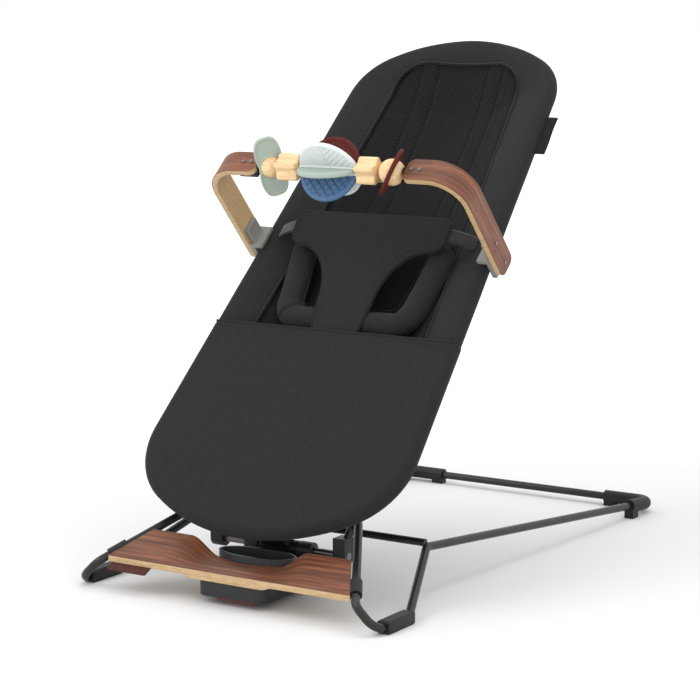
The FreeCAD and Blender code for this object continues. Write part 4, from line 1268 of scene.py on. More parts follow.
    def pouch_border(self, count: int) -> tuple[np.ndarray, np.ndarray]:
        """Right half of the loop's outline, from the middle of the foot end up to the pouch's hem.

        Args:
            count: how many points.

        Returns:
            Points and their outward normals, both as (x, s).
        """
        edge, normals = self.plane.outline(self.around)
        keep = (edge[:, 0] >= -1e-6) & (edge[:, 1] <= self.foot_s)
        order = np.argsort(edge[keep][:, 1] + edge[keep][:, 0] * 1e-3)
        index = np.linspace(0, 1, count) * (len(order) - 1)
        places = np.arange(len(order))
        border, ways = (np.stack([np.interp(index, places, part[keep][order][:, axis]) for axis in (0, 1)],
                                 -1)
                        for part in (edge, normals))
        border[-1, 1] = self.foot_s
        return border, ways

    def mesh_line(self, grow: float, lift: float) -> np.ndarray:
        """Line on the cloth, parallel to the sides and top of the mesh panel.

        Args:
            grow: distance outwards from the panel's outline.
            lift: height above the cloth.

        Returns:
            Points in the frame, in metres.
        """
        outline = self.mesh_outline(grow)
        outline = outline[outline[:, 1] > self.mesh_bottom + self.trim_start]
        middle = (self.mesh_bottom + self.mesh_top) / 2
        outline = outline[np.argsort(np.arctan2(outline[:, 0], outline[:, 1] - middle))]
        height = self.plane.fabric_height(outline[:, 0], outline[:, 1]) + lift
        return self.plane.place(np.column_stack([outline, height]))

    def build_trims(self) -> None:
        """Piping round the mesh panel, the pouch's hem roll, and the rows of stitches."""
        piping = tube("mesh_piping", self.mesh_line(0.6, 0.6), self.piping_r * MM)
        finish_piece(piping, Body.SEAT, "webbing", self.looks["webbing_dark"])
        stitches = StitchRun(pitch=4.6, length=3.2, thread_r=0.4)
        lines = [self.mesh_line(5.0, 0.9)]
        for s in (self.foot_s - 7, self.foot_s - 12):
            x = np.linspace(-1, 1, 60) * (self.plane.half_width(np.array([s]), 6.0)[0])
            lines.append(self.plane.place(np.column_stack([x, np.full(60, s),
                                                           np.full(60, self.sleeve_r + 2.0)])))
        stitches.build("cover_stitches", lines, self.looks["thread_dark"])
        s = self.foot_s
        half = self.plane.half_width(np.array([s]), 4.0)[0]
        x = np.linspace(-half, half, 60)
        roll = self.plane.place(np.column_stack([x, np.full(60, s), np.full(60, self.sleeve_r + 1.4)]))
        hem = tube("pouch_hem", roll, self.hem_r * MM)
        finish_piece(hem, Body.SEAT, "woven_fabric", self.looks["woven_charcoal"])

    def build_label(self) -> bpy.types.Object:
        """Blank folded label that stands out of the right edge's seam.

        Returns:
            The object.
        """
        middle = (centre("side_label", Axis.Z) - self.plane.foot_z) / math.sin(self.plane.tilt)
        s = np.linspace(middle - self.label_half, middle + self.label_half, 24)
        out = np.linspace(0, self.label_out, 8)
        x = self.plane.half_width(s, 1.0)[:, None] + out[None]
        along = np.repeat(s[:, None], len(out), 1)
        curl = 0.6 * (out[None] / self.label_out) ** 2 * np.sin(along / 9)
        upper = self.plane.place(np.stack([x, along, curl + self.label_wall / 2], -1))
        lower = self.plane.place(np.stack([x, along, curl - self.label_wall / 2], -1))
        label = slab("edge_label", upper, lower, np.stack([x, along], -1) * MM)
        return finish_piece(label, Body.SEAT, "webbing", self.looks["woven_label"], ("side_label",))

    def build(self) -> None:
        """Make all the cloth of the seat."""
        self.build_back()
        self.build_mesh()
        self.build_foot()
        self.build_trims()
        self.build_label()


# ---------------------------------------------------------------- padded pieces

def swell(piece: bpy.types.Object, voxel: float, cap: float, frames: int = 20) -> None:
    """Puff a padded piece with a short cloth simulation, and keep every point near where it was.

    Args:
        piece: a closed mesh.
        voxel: remesh size in metres.
        cap: farthest that a point may move, in metres.
        frames: length of the simulation.
    """
    remesh = piece.modifiers.new("voxels", "REMESH")
    remesh.mode = "VOXEL"
    remesh.voxel_size = voxel
    apply_modifiers(piece)
    before = [vertex.co.copy() for vertex in piece.data.vertices]
    cloth = piece.modifiers.new("fill", "CLOTH")
    cloth.settings.quality = 5
    cloth.settings.use_pressure = True
    cloth.settings.uniform_pressure_force = 4.0
    cloth.settings.effector_weights.gravity = 0.0
    cloth.settings.tension_stiffness = 15
    scene = bpy.context.scene
    cloth.point_cache.frame_start = 1
    cloth.point_cache.frame_end = frames
    for step in range(1, frames + 1):
        scene.frame_set(step)
        bpy.context.view_layer.update()
    apply_modifiers(piece)
    scene.frame_set(1)
    for vertex, old in zip(piece.data.vertices, before):
        move = vertex.co - old
        if move.length > cap:
            vertex.co = old + move.normalized() * cap
    smooth = piece.modifiers.new("smooth", "SMOOTH")
    smooth.factor = 0.5
    smooth.iterations = 4
    sub = piece.modifiers.new("round", "SUBSURF")
    sub.levels = 1
    sub.render_levels = 1
    apply_modifiers(piece)
    piece.data.shade_smooth()


def cloth_uv(piece: bpy.types.Object, plane: SeatPlane) -> None:
    """Give a piece a UV map in metres, flat on the seat plane.

    Args:
        piece: the object.
        plane: the seat's plane.
    """
    layer = piece.data.uv_layers.get(UV_NAME) or piece.data.uv_layers.new(name=UV_NAME)
    sine, cosine = math.sin(plane.tilt), math.cos(plane.tilt)
    for index, loop in enumerate(piece.data.loops):
        point = piece.data.vertices[loop.vertex_index].co
        along = (point.y - plane.foot_y * MM) * cosine + (point.z - plane.foot_z * MM) * sine
        out = -(point.y - plane.foot_y * MM) * sine + (point.z - plane.foot_z * MM) * cosine
        layer.data[index].uv = (point.x, along + out * 0.6)


@dataclass
class InfantInsert:
    """U-shaped bolster with a seam round it, and the flat pad that it holds."""

    plane: SeatPlane
    looks: Looks
    half_top: float = 114.0
    half_bottom: float = 94.0
    top_s: float = 474.0
    bottom_s: float = 345.0
    width: float = 43.0
    loft: float = 33.0
    corner_r: float = 30.0
    floor_h: float = -19.0

    def middle_line(self) -> np.ndarray:
        """Middle of the bolster as (x, s), from the top right down and round to the top left.

        Returns:
            Points of the line.
        """
        corner = np.array([self.half_bottom, self.bottom_s])
        top = np.array([self.half_top, self.top_s])
        way = (top - corner) / np.linalg.norm(top - corner)
        side = top + (corner - top) * np.linspace(0, 1, 40)[:, None]
        side = side[np.linalg.norm(side - corner, axis=1) > self.corner_r]
        start = corner + way * self.corner_r
        end = corner - np.array([self.corner_r, 0])
        t = np.linspace(0, 1, 14)[1:-1, None]
        bend = (1 - t) ** 2 * start + 2 * t * (1 - t) * corner + t ** 2 * end
        base = np.stack([np.linspace(end[0], 0, 24), np.full(24, self.bottom_s)], -1)
        half = np.concatenate([side, bend, base])
        return np.concatenate([half, (half * np.array([-1, 1]))[::-1][1:]])

    def height(self, x: np.ndarray, s: np.ndarray) -> np.ndarray:
        """Height of the insert's underside: its foam fills the hollow of the sling."""
        return np.maximum(self.plane.fabric_height(x, s), self.floor_h)

    def build(self) -> None:
        """Make the bolster, its seam and the pad inside it."""
        line = self.middle_line()
        way = np.gradient(line, axis=0)
        way /= np.linalg.norm(way, axis=1, keepdims=True)
        out = np.stack([-way[:, 1], way[:, 0]], -1)
        angles = np.linspace(0, 2 * math.pi, 26, endpoint=False)
        base = self.height(line[:, 0], line[:, 1])
        rings = []
        for index, point in enumerate(line):
            near_end = min(index, len(line) - 1 - index)
            swell_here = math.sqrt(max(0.12, 1 - (1 - min(near_end / 5, 1)) ** 2))
            ring = []
            for angle in angles:
                across = (self.width / 2 - 2) * math.cos(angle) * swell_here
                up = (self.loft / 2 - 2) * math.sin(angle) * swell_here
                flat = point + out[index] * across
                ring.append((flat[0], flat[1], base[index] + self.loft * 0.42 + up))
            rings.append(ring)
        bolster = grid_piece("insert_bolster", self.plane.place(np.array(rings)), close_columns=True)
        close_ends(bolster)
        swell(bolster, 4.5 * MM, 6 * MM)
        self.press_seams(bolster)
        cloth_uv(bolster, self.plane)
        finish_piece(bolster, Body.SEAT, "woven_fabric", self.looks["woven_charcoal"], ("infant_insert",))
        self.build_pad()
        self.build_seams(line, out, base)

    def press_seams(self, bolster: bpy.types.Object) -> None:
        """Draw the mitre seams and the cross seams in where the bolster's cloth is joined.

        Args:
            bolster: the bolster.
        """
        joints = [(self.half_bottom - 4, self.bottom_s + 4), (-self.half_bottom + 4, self.bottom_s + 4)]
        sine, cosine = math.sin(self.plane.tilt), math.cos(self.plane.tilt)
        normal = Vector((0, -sine, cosine))
        for vertex in bolster.data.vertices:
            x = vertex.co.x / MM
            dy, dz = vertex.co.y / MM - self.plane.foot_y, vertex.co.z / MM - self.plane.foot_z
            s = dy * cosine + dz * sine
            h = -dy * sine + dz * cosine
            for jx, js in joints:
                side = 1 if jx > 0 else -1
                across = ((x - jx) * side + (s - js)) / math.sqrt(2)
                reach = math.hypot(x - jx, s - js)
                if reach < 30 and h > -18:
                    vertex.co -= normal * (2.6 * math.exp(-(across / 2.4) ** 2) * MM)
            wrinkle = 0.5 * math.sin(s / 6.5 + 1.7 * math.sin(x / 19)) * math.sin(x / 13 + 0.6)
            vertex.co += normal * (wrinkle * MM)

    def build_pad(self) -> None:
        """Thin quilted pad inside the bolster."""
        s = np.linspace(self.bottom_s + 6, self.top_s + 14, 50)
        share = (s - self.bottom_s) / (self.top_s - self.bottom_s)
        half = self.half_bottom + (self.half_top - self.half_bottom) * share - 8
        u = np.linspace(-1, 1, 70)
        x = half[:, None] * u[None]
        along = np.repeat(s[:, None], len(u), 1)
        height = self.height(x, along) + 3.4 + 1.2 * np.cos(u * math.pi / 2)[None]
        height = height - 0.9 * np.exp(-((x / 3.0) ** 2))
        upper = self.plane.place(np.stack([x, along, height], -1))
        under = np.minimum(self.plane.fabric_height(x, along) + 0.6, height - 4.5)
        lower = self.plane.place(np.stack([x, along, under], -1))
        pad = slab("insert_pad", upper, lower, np.stack([x, along], -1) * MM)
        bevelled(pad, 1.4 * MM, 2)
        # The pad's cloth is painted darker than the cover's: painted shade in the bolster's hollow.
        finish_piece(pad, Body.SEAT, "woven_fabric", self.looks["woven_pad_painted_shade"])

    def build_seams(self, line: np.ndarray, out: np.ndarray, base: np.ndarray) -> None:
        """Piping and stitches along the bolster's inner edge.

        Args:
            line: its middle line.
            out: distance out from the middle line.
            base: height that it starts from.
        """
        flat = line[3:-3] - out[3:-3] * (self.width / 2 - 1.5)
        height = base[3:-3] + self.loft * 0.42
        path = self.plane.place(np.column_stack([flat, height]))
        piping = tube("insert_piping", path, 1.5 * MM, 8)
        finish_piece(piping, Body.SEAT, "webbing", self.looks["webbing_dark"])
        flat = line[3:-3] - out[3:-3] * (self.width / 2 - 5)
        height = base[3:-3] + self.loft * 0.80
        path = self.plane.place(np.column_stack([flat, height]))
        StitchRun(4.2, 2.8, 0.35).build("insert_stitches", [path], self.looks["thread_dark"])


@dataclass
class Harness:
    """T-shaped crotch panel that rises from the pouch to a bar, and its two side straps."""

    plane: SeatPlane
    looks: Looks
    bottom_s: float = 304.0
    top_s: float = 498.0
    bar_s: float = 448.0
    stem_half: float = 41.0
    foot_half: float = 32.0
    half: float = 120.0
    flare_reach: float = 62.0
    flare_rise: float = 82.0
    corner_r: float = 20.0
    top_corner_r: float = 13.0
    bottom_h: float = 3.0
    top_h: float = 34.0
    wall: float = 5.0
    tab_s: float = 478.0
    tab_width: float = 20.0
    tab_in: float = 112.0
    tab_out: float = 155.0

    def half_width(self) -> list[tuple[float, float]]:
        """The panel's right edge as (x, s), from the foot of the stem up.

        Returns:
            Half the width at each distance.
        """
        flare_s = self.bar_s - self.flare_rise
        edge = [(self.foot_half + (self.stem_half - self.foot_half) * share,
                 self.bottom_s + (flare_s - self.bottom_s) * share) for share in np.linspace(0, 1, 14)]
        for angle in np.linspace(0, 90, 26)[1:]:
            turn = math.radians(angle)
            edge.append((self.stem_half + self.flare_reach * (1 - math.cos(turn)),
                         flare_s + self.flare_rise * math.sin(turn)))
        centre = self.half - self.corner_r
        for angle in np.linspace(-90, 0, 9):
            turn = math.radians(angle)
            edge.append((centre + self.corner_r * math.cos(turn),
                         self.bar_s + self.corner_r * (1 + math.sin(turn))))
        centre = self.half - self.top_corner_r
        for angle in np.linspace(0, 90, 9):
            turn = math.radians(angle)
            edge.append((centre + self.top_corner_r * math.cos(turn),
                         self.top_s - self.top_corner_r * (1 - math.sin(turn))))
        return edge

    def height(self, s: np.ndarray) -> np.ndarray:
        """Height of the panel's middle plane."""
        share = (s - self.bottom_s) / (self.top_s - self.bottom_s)
        return self.bottom_h + (self.top_h - self.bottom_h) * share

    def build_panel(self) -> bpy.types.Object:
        """The panel, slightly crowned, with rounded edges.

        Returns:
            The object.
        """
        edge = np.array(self.half_width())
        u = np.linspace(-1, 1, 61)
        x = edge[:, :1] * u[None]
        along = np.repeat(edge[:, 1:], len(u), 1)
        crown = 1.3 * (1 - np.abs(u[None]) ** 4) * np.ones_like(x)
        wave = 0.5 * np.sin(x / 21) * np.sin(along / 17)
        height = self.height(along) + wave
        upper = self.plane.place(np.stack([x, along, height + self.wall / 2 + crown], -1))
        lower = self.plane.place(np.stack([x, along, height - self.wall / 2 - 0.3 * crown], -1))
        panel = slab("crotch_panel", upper, lower, np.stack([x, along], -1) * MM)
        bevelled(panel, 1.7 * MM, 3, 50)
        finish_piece(panel, Body.SEAT, "woven_fabric", self.looks["woven_charcoal"], ("harness_panel",))
        return panel

    def build_binding(self) -> None:
        """Bound edge that runs round the panel."""
        edge = np.array(self.half_width())
        both = np.concatenate([edge, (edge * np.array([-1, 1]))[::-1]])
        path = self.plane.place(np.column_stack([both, self.height(both[:, 1])]))
        binding = tube("panel_binding", path, 2.7 * MM, 12)
        finish_piece(binding, Body.SEAT, "webbing", self.looks["woven_edge"])
        way = np.gradient(both, axis=0)
        way /= np.maximum(np.linalg.norm(way, axis=1, keepdims=True), 1e-6)
        inner = both + np.stack([-way[:, 1], way[:, 0]], -1) * 6.5
        seam = self.plane.place(np.column_stack([inner, self.height(inner[:, 1]) + self.wall / 2 + 1.0]))
        StitchRun(4.4, 3.0, 0.35).build("panel_stitches", [seam], self.looks["thread_dark"])

    def build_tabs(self) -> None:
        """Grey webbing straps from the bar's ends to the loop."""
        for name, side in (("left", -1), ("right", 1)):
            t = np.linspace(0, 1, 26)
            x = self.tab_in + (self.tab_out - self.tab_in) * t
            start = self.height(np.array([self.tab_s]))[0] - 1.0
            height = start + (12.6 - start) * t + 2.4 * np.sin(math.pi * t)
            v = np.linspace(-0.5, 0.5, 9) * self.tab_width
            xs = np.repeat(x[:, None], 9, 1)
            along = self.tab_s + np.repeat(v[None], 26, 0)
            hs = np.repeat(height[:, None], 9, 1)
            upper = self.plane.place(np.stack([xs * side, along, hs + 0.9], -1))
            lower = self.plane.place(np.stack([xs * side, along, hs - 0.9], -1))
            strap = slab("webbing_strap_" + name, upper, lower, np.stack([xs, along], -1) * MM)
            finish_piece(strap, Body.SEAT, "webbing", self.looks["webbing_grey"], ("harness_tab_" + name,))

    def build(self) -> None:
        """Make the panel, its binding and its straps."""
        self.build_panel()
        self.build_binding()
        self.build_tabs()


# ---------------------------------------------------------------- footboard

@dataclass
class Footboard:
    """Bentwood board over the hub: walnut face, birch core with a thicker lip, and its leather tag."""

    looks: Looks
    front_y: float = -392.6
    depth: float = 55.3
    front_z: float = 44.6
    rise: float = 27.7
    mid_rise: float = 4.0
    wave_in: float = 52.0
    wave_out: float = 112.0
    core: float = 8.0
    veneer: float = 1.0
    lip: float = 4.0
    lip_half: float = 62.0
    front_half: float = 186.1
    rear_half: float = 153.0
    cup_y: float = -320.0
    cup_rx: float = 59.0
    cup_ry: float = 27.0

    def rise_at(self, x: np.ndarray) -> np.ndarray:
        """Rise from the front edge to the rear edge."""
        share = np.clip((np.abs(x) - self.wave_in) / (self.wave_out - self.wave_in), 0, 1)
        return self.mid_rise + (self.rise - self.mid_rise) * (1 - np.cos(math.pi * share)) / 2

    def layer(self, name: str, drop: float, thickness: float, lip: float, rows: int = 26,
              inset: float = 0.0) -> bpy.types.Object:
        """One layer of the board.

        Args:
            name: the piece's name.
            drop: depth of its upper face below the board's face.
            thickness: its thickness.
            lip: extra thickness at the middle of the front edge.
            rows: stations from front to rear.
            inset: how far its edges stand back.

        Returns:
            The layer.
        """
        u = np.linspace(-1, 1, 181)
        front_x = u * (self.front_half - inset)
        notch = self.cup_y - self.cup_ry * np.sqrt(np.clip(1 - (front_x / self.cup_rx) ** 2, 0, 1))
        rear = np.where(np.abs(front_x) < self.cup_rx, np.minimum(notch, self.front_y + self.depth),
                        self.front_y + self.depth) - inset
        v = np.linspace(0, 1, rows)
        y = (self.front_y + inset) + (rear - self.front_y - inset)[None] * v[:, None]
        share = (y - self.front_y) / self.depth
        half = self.front_half + (self.rear_half - self.front_half) * share - inset
        x = u[None] * half
        z = self.front_z - drop + self.rise_at(front_x)[None] * share
        extra = lip * smoothstep(self.lip_half + 8, self.lip_half - 8, np.abs(x))
        extra = extra * smoothstep(0.42, 0.0, share)
        upper = np.stack([x, y, z], -1) * MM
        lower = np.stack([x, y, z - thickness - extra], -1) * MM
        return slab(name, upper, lower, np.stack([x, y], -1) * MM)

    def build(self) -> None:
        """Make both layers and the tag."""
        veneer = self.layer("board_face", 0.0, self.veneer, 0.0, inset=0.25)
        bevelled(veneer, 0.35 * MM, 2, 50)
        finish_piece(veneer, Body.CARRIER, "walnut", self.looks["walnut_veneer"], ("footboard_veneer",))
        core = self.layer("board_core", self.veneer, self.core, self.lip)
        bevelled(core, 1.1 * MM, 3, 50)
        finish_piece(core, Body.CARRIER, "light_ply", self.looks["birch_ply"], ("footboard_core",))
        tag = softened("leather_tab", "leather_tag", 0.8 * MM)
        finish_piece(tag, Body.CARRIER, "leather", self.looks["tan_leather"], ("leather_tag",))


# ---------------------------------------------------------------- toy bar

@dataclass(frozen=True)
class BarPlane:
    """Place of the toy bar on the seat: x across, y along the seat, h up its legs."""

    seat: SeatPlane
    along: float = 462.5
    lean: float = math.radians(3.15)
    rod_h: float = 160.5

    def place(self, points: np.ndarray) -> np.ndarray:
        """Turn (x, y, h) in millimetres into metres in the frame.

        Args:
            points: points in the plane's own millimetres.

        Returns:
            Points in the frame, in metres.
        """
        points = np.asarray(points, float)
        x, y, h = points[..., 0], points[..., 1], points[..., 2]
        s = self.along + y * math.cos(self.lean) + h * math.sin(self.lean)
        up = h * math.cos(self.lean) - y * math.sin(self.lean)
        return self.seat.place(np.stack([x, s, up], -1))


@dataclass
class BarArms:
    """Two bent plywood arms: walnut outside, birch inside, with round inner ends."""

    plane: BarPlane
    looks: Looks
    width: float = 36.0
    out_x: float = 200.0
    top_h: float = 168.0
    bottom_h: float = -14.0
    bend_r: float = 50.0
    end_x: float = 115.0
    end_r: float = 10.0
    veneer: float = 1.0
    core: float = 7.5

    def path(self, depth: float) -> tuple[np.ndarray, np.ndarray]:
        """Line of the arm at a depth under its outer face.

        Args:
            depth: in millimetres.

        Returns:
            Points (x, h), and each one's run along the outer face.
        """
        flat = self.out_x - self.bend_r - self.end_x
        runs = np.concatenate([np.linspace(0, self.end_r, 12), np.linspace(self.end_r, flat, 12)[1:]])
        first = np.stack([self.end_x + runs, np.full(len(runs), self.top_h - depth)], -1)
        turn = np.linspace(0, math.pi / 2, 30)[1:]
        centre = np.array([self.out_x - self.bend_r, self.top_h - self.bend_r])
        radius = self.bend_r - depth
        bend = centre + radius * np.stack([np.sin(turn), np.cos(turn)], -1)
        leg = self.top_h - self.bend_r - self.bottom_h
        legs = np.concatenate([np.linspace(0, leg - self.end_r, 24)[1:],
                               np.linspace(leg - self.end_r, leg, 12)[1:]])
        last = np.stack([np.full(len(legs), self.out_x - depth), self.top_h - self.bend_r - legs], -1)
        run = np.concatenate([runs, flat + self.bend_r * turn, flat + self.bend_r * math.pi / 2 + legs])
        return np.concatenate([first, bend, last]), run

    def layer(self, name: str, side: int, depth: float, thickness: float, inset: float) -> bpy.types.Object:
        """One layer of an arm.

        Args:
            name: the piece's name.
            side: 1 on the right, -1 on the left.
            depth: how deep the layer lies.
            thickness: of the wall, in metres.
            inset: distance in from the tube's middle line.

        Returns:
            The object.
        """
        upper_path, run = self.path(depth)
        lower_path, _ = self.path(depth + thickness)
        near = np.minimum(run, run[-1] - run)
        corner = self.end_r - np.sqrt(np.maximum(self.end_r ** 2 - np.maximum(self.end_r - near, 0) ** 2, 0))
        half = self.width / 2 - corner - inset
        v = np.linspace(-1, 1, 13)
        y = half[:, None] * v[None]
        grids = []
        for path in (upper_path, lower_path):
            x = np.repeat(path[:, :1], 13, 1) * side
            h = np.repeat(path[:, 1:], 13, 1)
            grids.append(self.plane.place(np.stack([x, y, h], -1)))
        uv = np.stack([np.repeat(run[:, None], 13, 1) + 300 * (side + 1), y], -1) * MM
        return slab(name, grids[0], grids[1], uv)

    def build(self) -> None:
        """Make both arms."""
        for name, side in (("left", -1), ("right", 1)):
            face = self.layer("arm_face_" + name, side, 0.0, self.veneer, 0.2)
            bevelled(face, 0.3 * MM, 2, 50)
            finish_piece(face, Body.TOY_BAR, "walnut", self.looks["walnut_veneer"], ("arm_veneer_" + name,))
            core = self.layer("arm_ply_" + name, side, self.veneer, self.core, 0.0)
            bevelled(core, 0.9 * MM, 2, 50)
            finish_piece(core, Body.TOY_BAR, "light_ply", self.looks["birch_ply"], ("arm_core_" + name,))
            clamp = softened("bar_clamp_" + name, "side_clamp_" + name, 1.6 * MM)
            finish_piece(clamp, Body.TOY_BAR, "clamp_grey", self.looks["grey_abs"], ("side_clamp_" + name,))


class Relief(Enum):
    """What is moulded into a fin's faces."""

    LEAF = "leaf"
    PLAIN = "plain"
    RIM = "rim"
    LATTICE = "lattice"


@dataclass
class Fins:
    """Six half-round fins on one hub; each face carries its own moulded pattern."""

    plane: BarPlane
    looks: Looks
    centre_x: float = -2.0
    radius: float = 44.5
    thickness: float = 7.0
    hub_r: float = 9.0
    edge_round: float = 2.6
    first_angle: float = 4.2
    count: int = 6
    rim: float = 5.0
    lattice: float = 12.5

    def carve(self, relief: Relief, a: np.ndarray, b: np.ndarray, reach: np.ndarray) -> np.ndarray:
        """Depth of the pattern at (a along the rod, b out of it).

        Args:
            relief: height of the ribs.
            a: first coordinate.
            b: second coordinate.
            reach: how far it goes.

        Returns:
            Height at each point.
        """
        if relief is Relief.LEAF:
            vein = np.abs(((b - np.abs(a) * 0.8) / 8.0 + 0.5) % 1 - 0.5) * 8.0
            spine = np.abs(a)
            groove = np.exp(-(np.minimum(vein, spine) / 0.8) ** 2)
            return 1.5 * groove * smoothstep(self.radius - 1.5, self.radius - 4.5, reach)
        if relief is Relief.LATTICE:
            one = np.abs(((a + b) / self.lattice) % 1 - 0.5) * self.lattice
            two = np.abs(((a - b) / self.lattice) % 1 - 0.5) * self.lattice
            groove = np.exp(-(np.minimum(one, two) / 0.75) ** 2)
            inside = smoothstep(self.radius - self.rim, self.radius - self.rim - 1.6, reach)
            return inside * (0.6 + 2.0 * groove)
        if relief is Relief.RIM:
            return 1.2 * smoothstep(self.radius - self.rim, self.radius - self.rim - 1.8, reach)
        return np.zeros_like(a)

    def fin(self, name: str, index: int, relief: Relief) -> bpy.types.Object:
        """One fin, index steps round the rod.

        Args:
            name: the piece's name.
            index: which one it is.
            relief: height of the ribs.

        Returns:
            The object.
        """
        edge = self.radius - self.edge_round + self.edge_round * np.sin(np.linspace(0, math.pi / 2, 7))
        reach = np.concatenate([np.linspace(self.hub_r * 0.9, self.radius - self.edge_round, 62), edge[1:]])
        theta = np.linspace(0, math.pi, 200)
        a = reach[:, None] * np.cos(theta)[None]
        b = reach[:, None] * np.sin(theta)[None]
        far = np.repeat(reach[:, None], len(theta), 1)
        into = np.clip(far - (self.radius - self.edge_round), 0, self.edge_round)
        half = self.thickness / 2 - self.edge_round + np.sqrt(np.maximum(self.edge_round ** 2 - into ** 2, 0))
        half = half - self.carve(relief, a, b, far)
        turn = math.radians(self.first_angle + 360 * index / self.count)
        grids = []
        for sign in (1, -1):
            t = sign * half
            y = b * math.sin(turn) + t * math.cos(turn)
            h = self.plane.rod_h + b * math.cos(turn) - t * math.sin(turn)
            grids.append(self.plane.place(np.stack([a + self.centre_x, y, h], -1)))
        return slab(name, grids[0], grids[1], np.stack([a, b], -1) * MM)

    def build(self) -> None:
        """Make all the fins."""
        plan = ((0, Relief.LEAF, "white_plastic", "white_silicone", "fins_white"),
                (3, Relief.LEAF, "white_plastic", "white_silicone", "fins_white"),
                (1, Relief.RIM, "maroon_plastic", "maroon_silicone", "fin_maroon"),
                (2, Relief.PLAIN, "sage", "sage_silicone", "fins_sage"),
                (5, Relief.PLAIN, "sage", "sage_silicone", "fins_sage"),
                (4, Relief.LATTICE, "blue_plastic", "blue_silicone", "fin_blue"))
        for index, relief, slot, look, node in plan:
            fin = self.fin(f"fin_{relief.value}_{index}", index, relief)
            finish_piece(fin, Body.FINS, slot, self.looks[look], (node,))


@dataclass
class HangingToys:
    """Soft wing and thin disc on their wooden balls."""

    plane: BarPlane
    looks: Looks
    wing_x: float = -96.6
    wing_half: float = 19.0
    wing_reach: float = 43.0
    wing_square: float = 3.2
    waist: float = 2.6
    hole_r: float = 14.0
    pitch: float = math.radians(45.0)
    turn: float = math.radians(-17.3)

    def build_wing(self) -> bpy.types.Object:
        """Two-lobed plate with a raised rim round its edge and round the ball.

        Returns:
            The object.
        """
        theta = np.linspace(0, 2 * math.pi, 160, endpoint=False)
        across, along = np.cos(theta), np.sin(theta)
        power = self.wing_square
        spread = np.abs(across / self.wing_half) ** power + np.abs(along / self.wing_reach) ** power
        reach = spread ** (-1 / power)
        reach -= self.waist * np.exp(-(np.arcsin(np.abs(along)) / 0.55) ** 2)
        share = (1 - np.cos(np.linspace(0, math.pi, 34))) / 2
        radius = self.hole_r + (reach - self.hole_r)[:, None] * share[None]
        from_edge = reach[:, None] - radius
        from_hole = radius - self.hole_r
        half = 1.2 + 1.4 * smoothstep(4.6, 3.4, from_edge) + 1.2 * smoothstep(3.4, 2.4, from_hole)
        close = np.clip(1.4 - np.minimum(from_edge, from_hole), 0, 1.4)
        half -= 1.4 - np.sqrt(np.maximum(1.4 ** 2 - close ** 2, 0))
        a = np.concatenate([radius * across[:, None]] + [(radius * across[:, None])[:, ::-1]], 1)
        c = np.concatenate([radius * along[:, None]] + [(radius * along[:, None])[:, ::-1]], 1)
        b = np.concatenate([half, -half[:, ::-1]], 1)
        x = a * math.cos(self.pitch) - b * math.sin(self.pitch)
        side = a * math.sin(self.pitch) + b * math.cos(self.pitch)
        y = side * math.cos(self.turn) - c * math.sin(self.turn)
        h = side * math.sin(self.turn) + c * math.cos(self.turn)
        points = self.plane.place(np.stack([x + self.wing_x, y, h + self.plane.rod_h], -1))
        wing = grid_piece("soft_wing", points, close_rows=True, close_columns=True)
        outward(wing)
        return finish_piece(wing, Body.WING, "sage", self.looks["sage_silicone"], ("wing",))

    def build(self) -> None:
        """Make the wing, and round the disc's edges."""
        self.build_wing()
        disc = softened("thin_disc", "disc", 0.6 * MM)
        finish_piece(disc, Body.DISC, "maroon_plastic", self.looks["maroon_silicone"], ("disc",))


# ---------------------------------------------------------------- base and hub

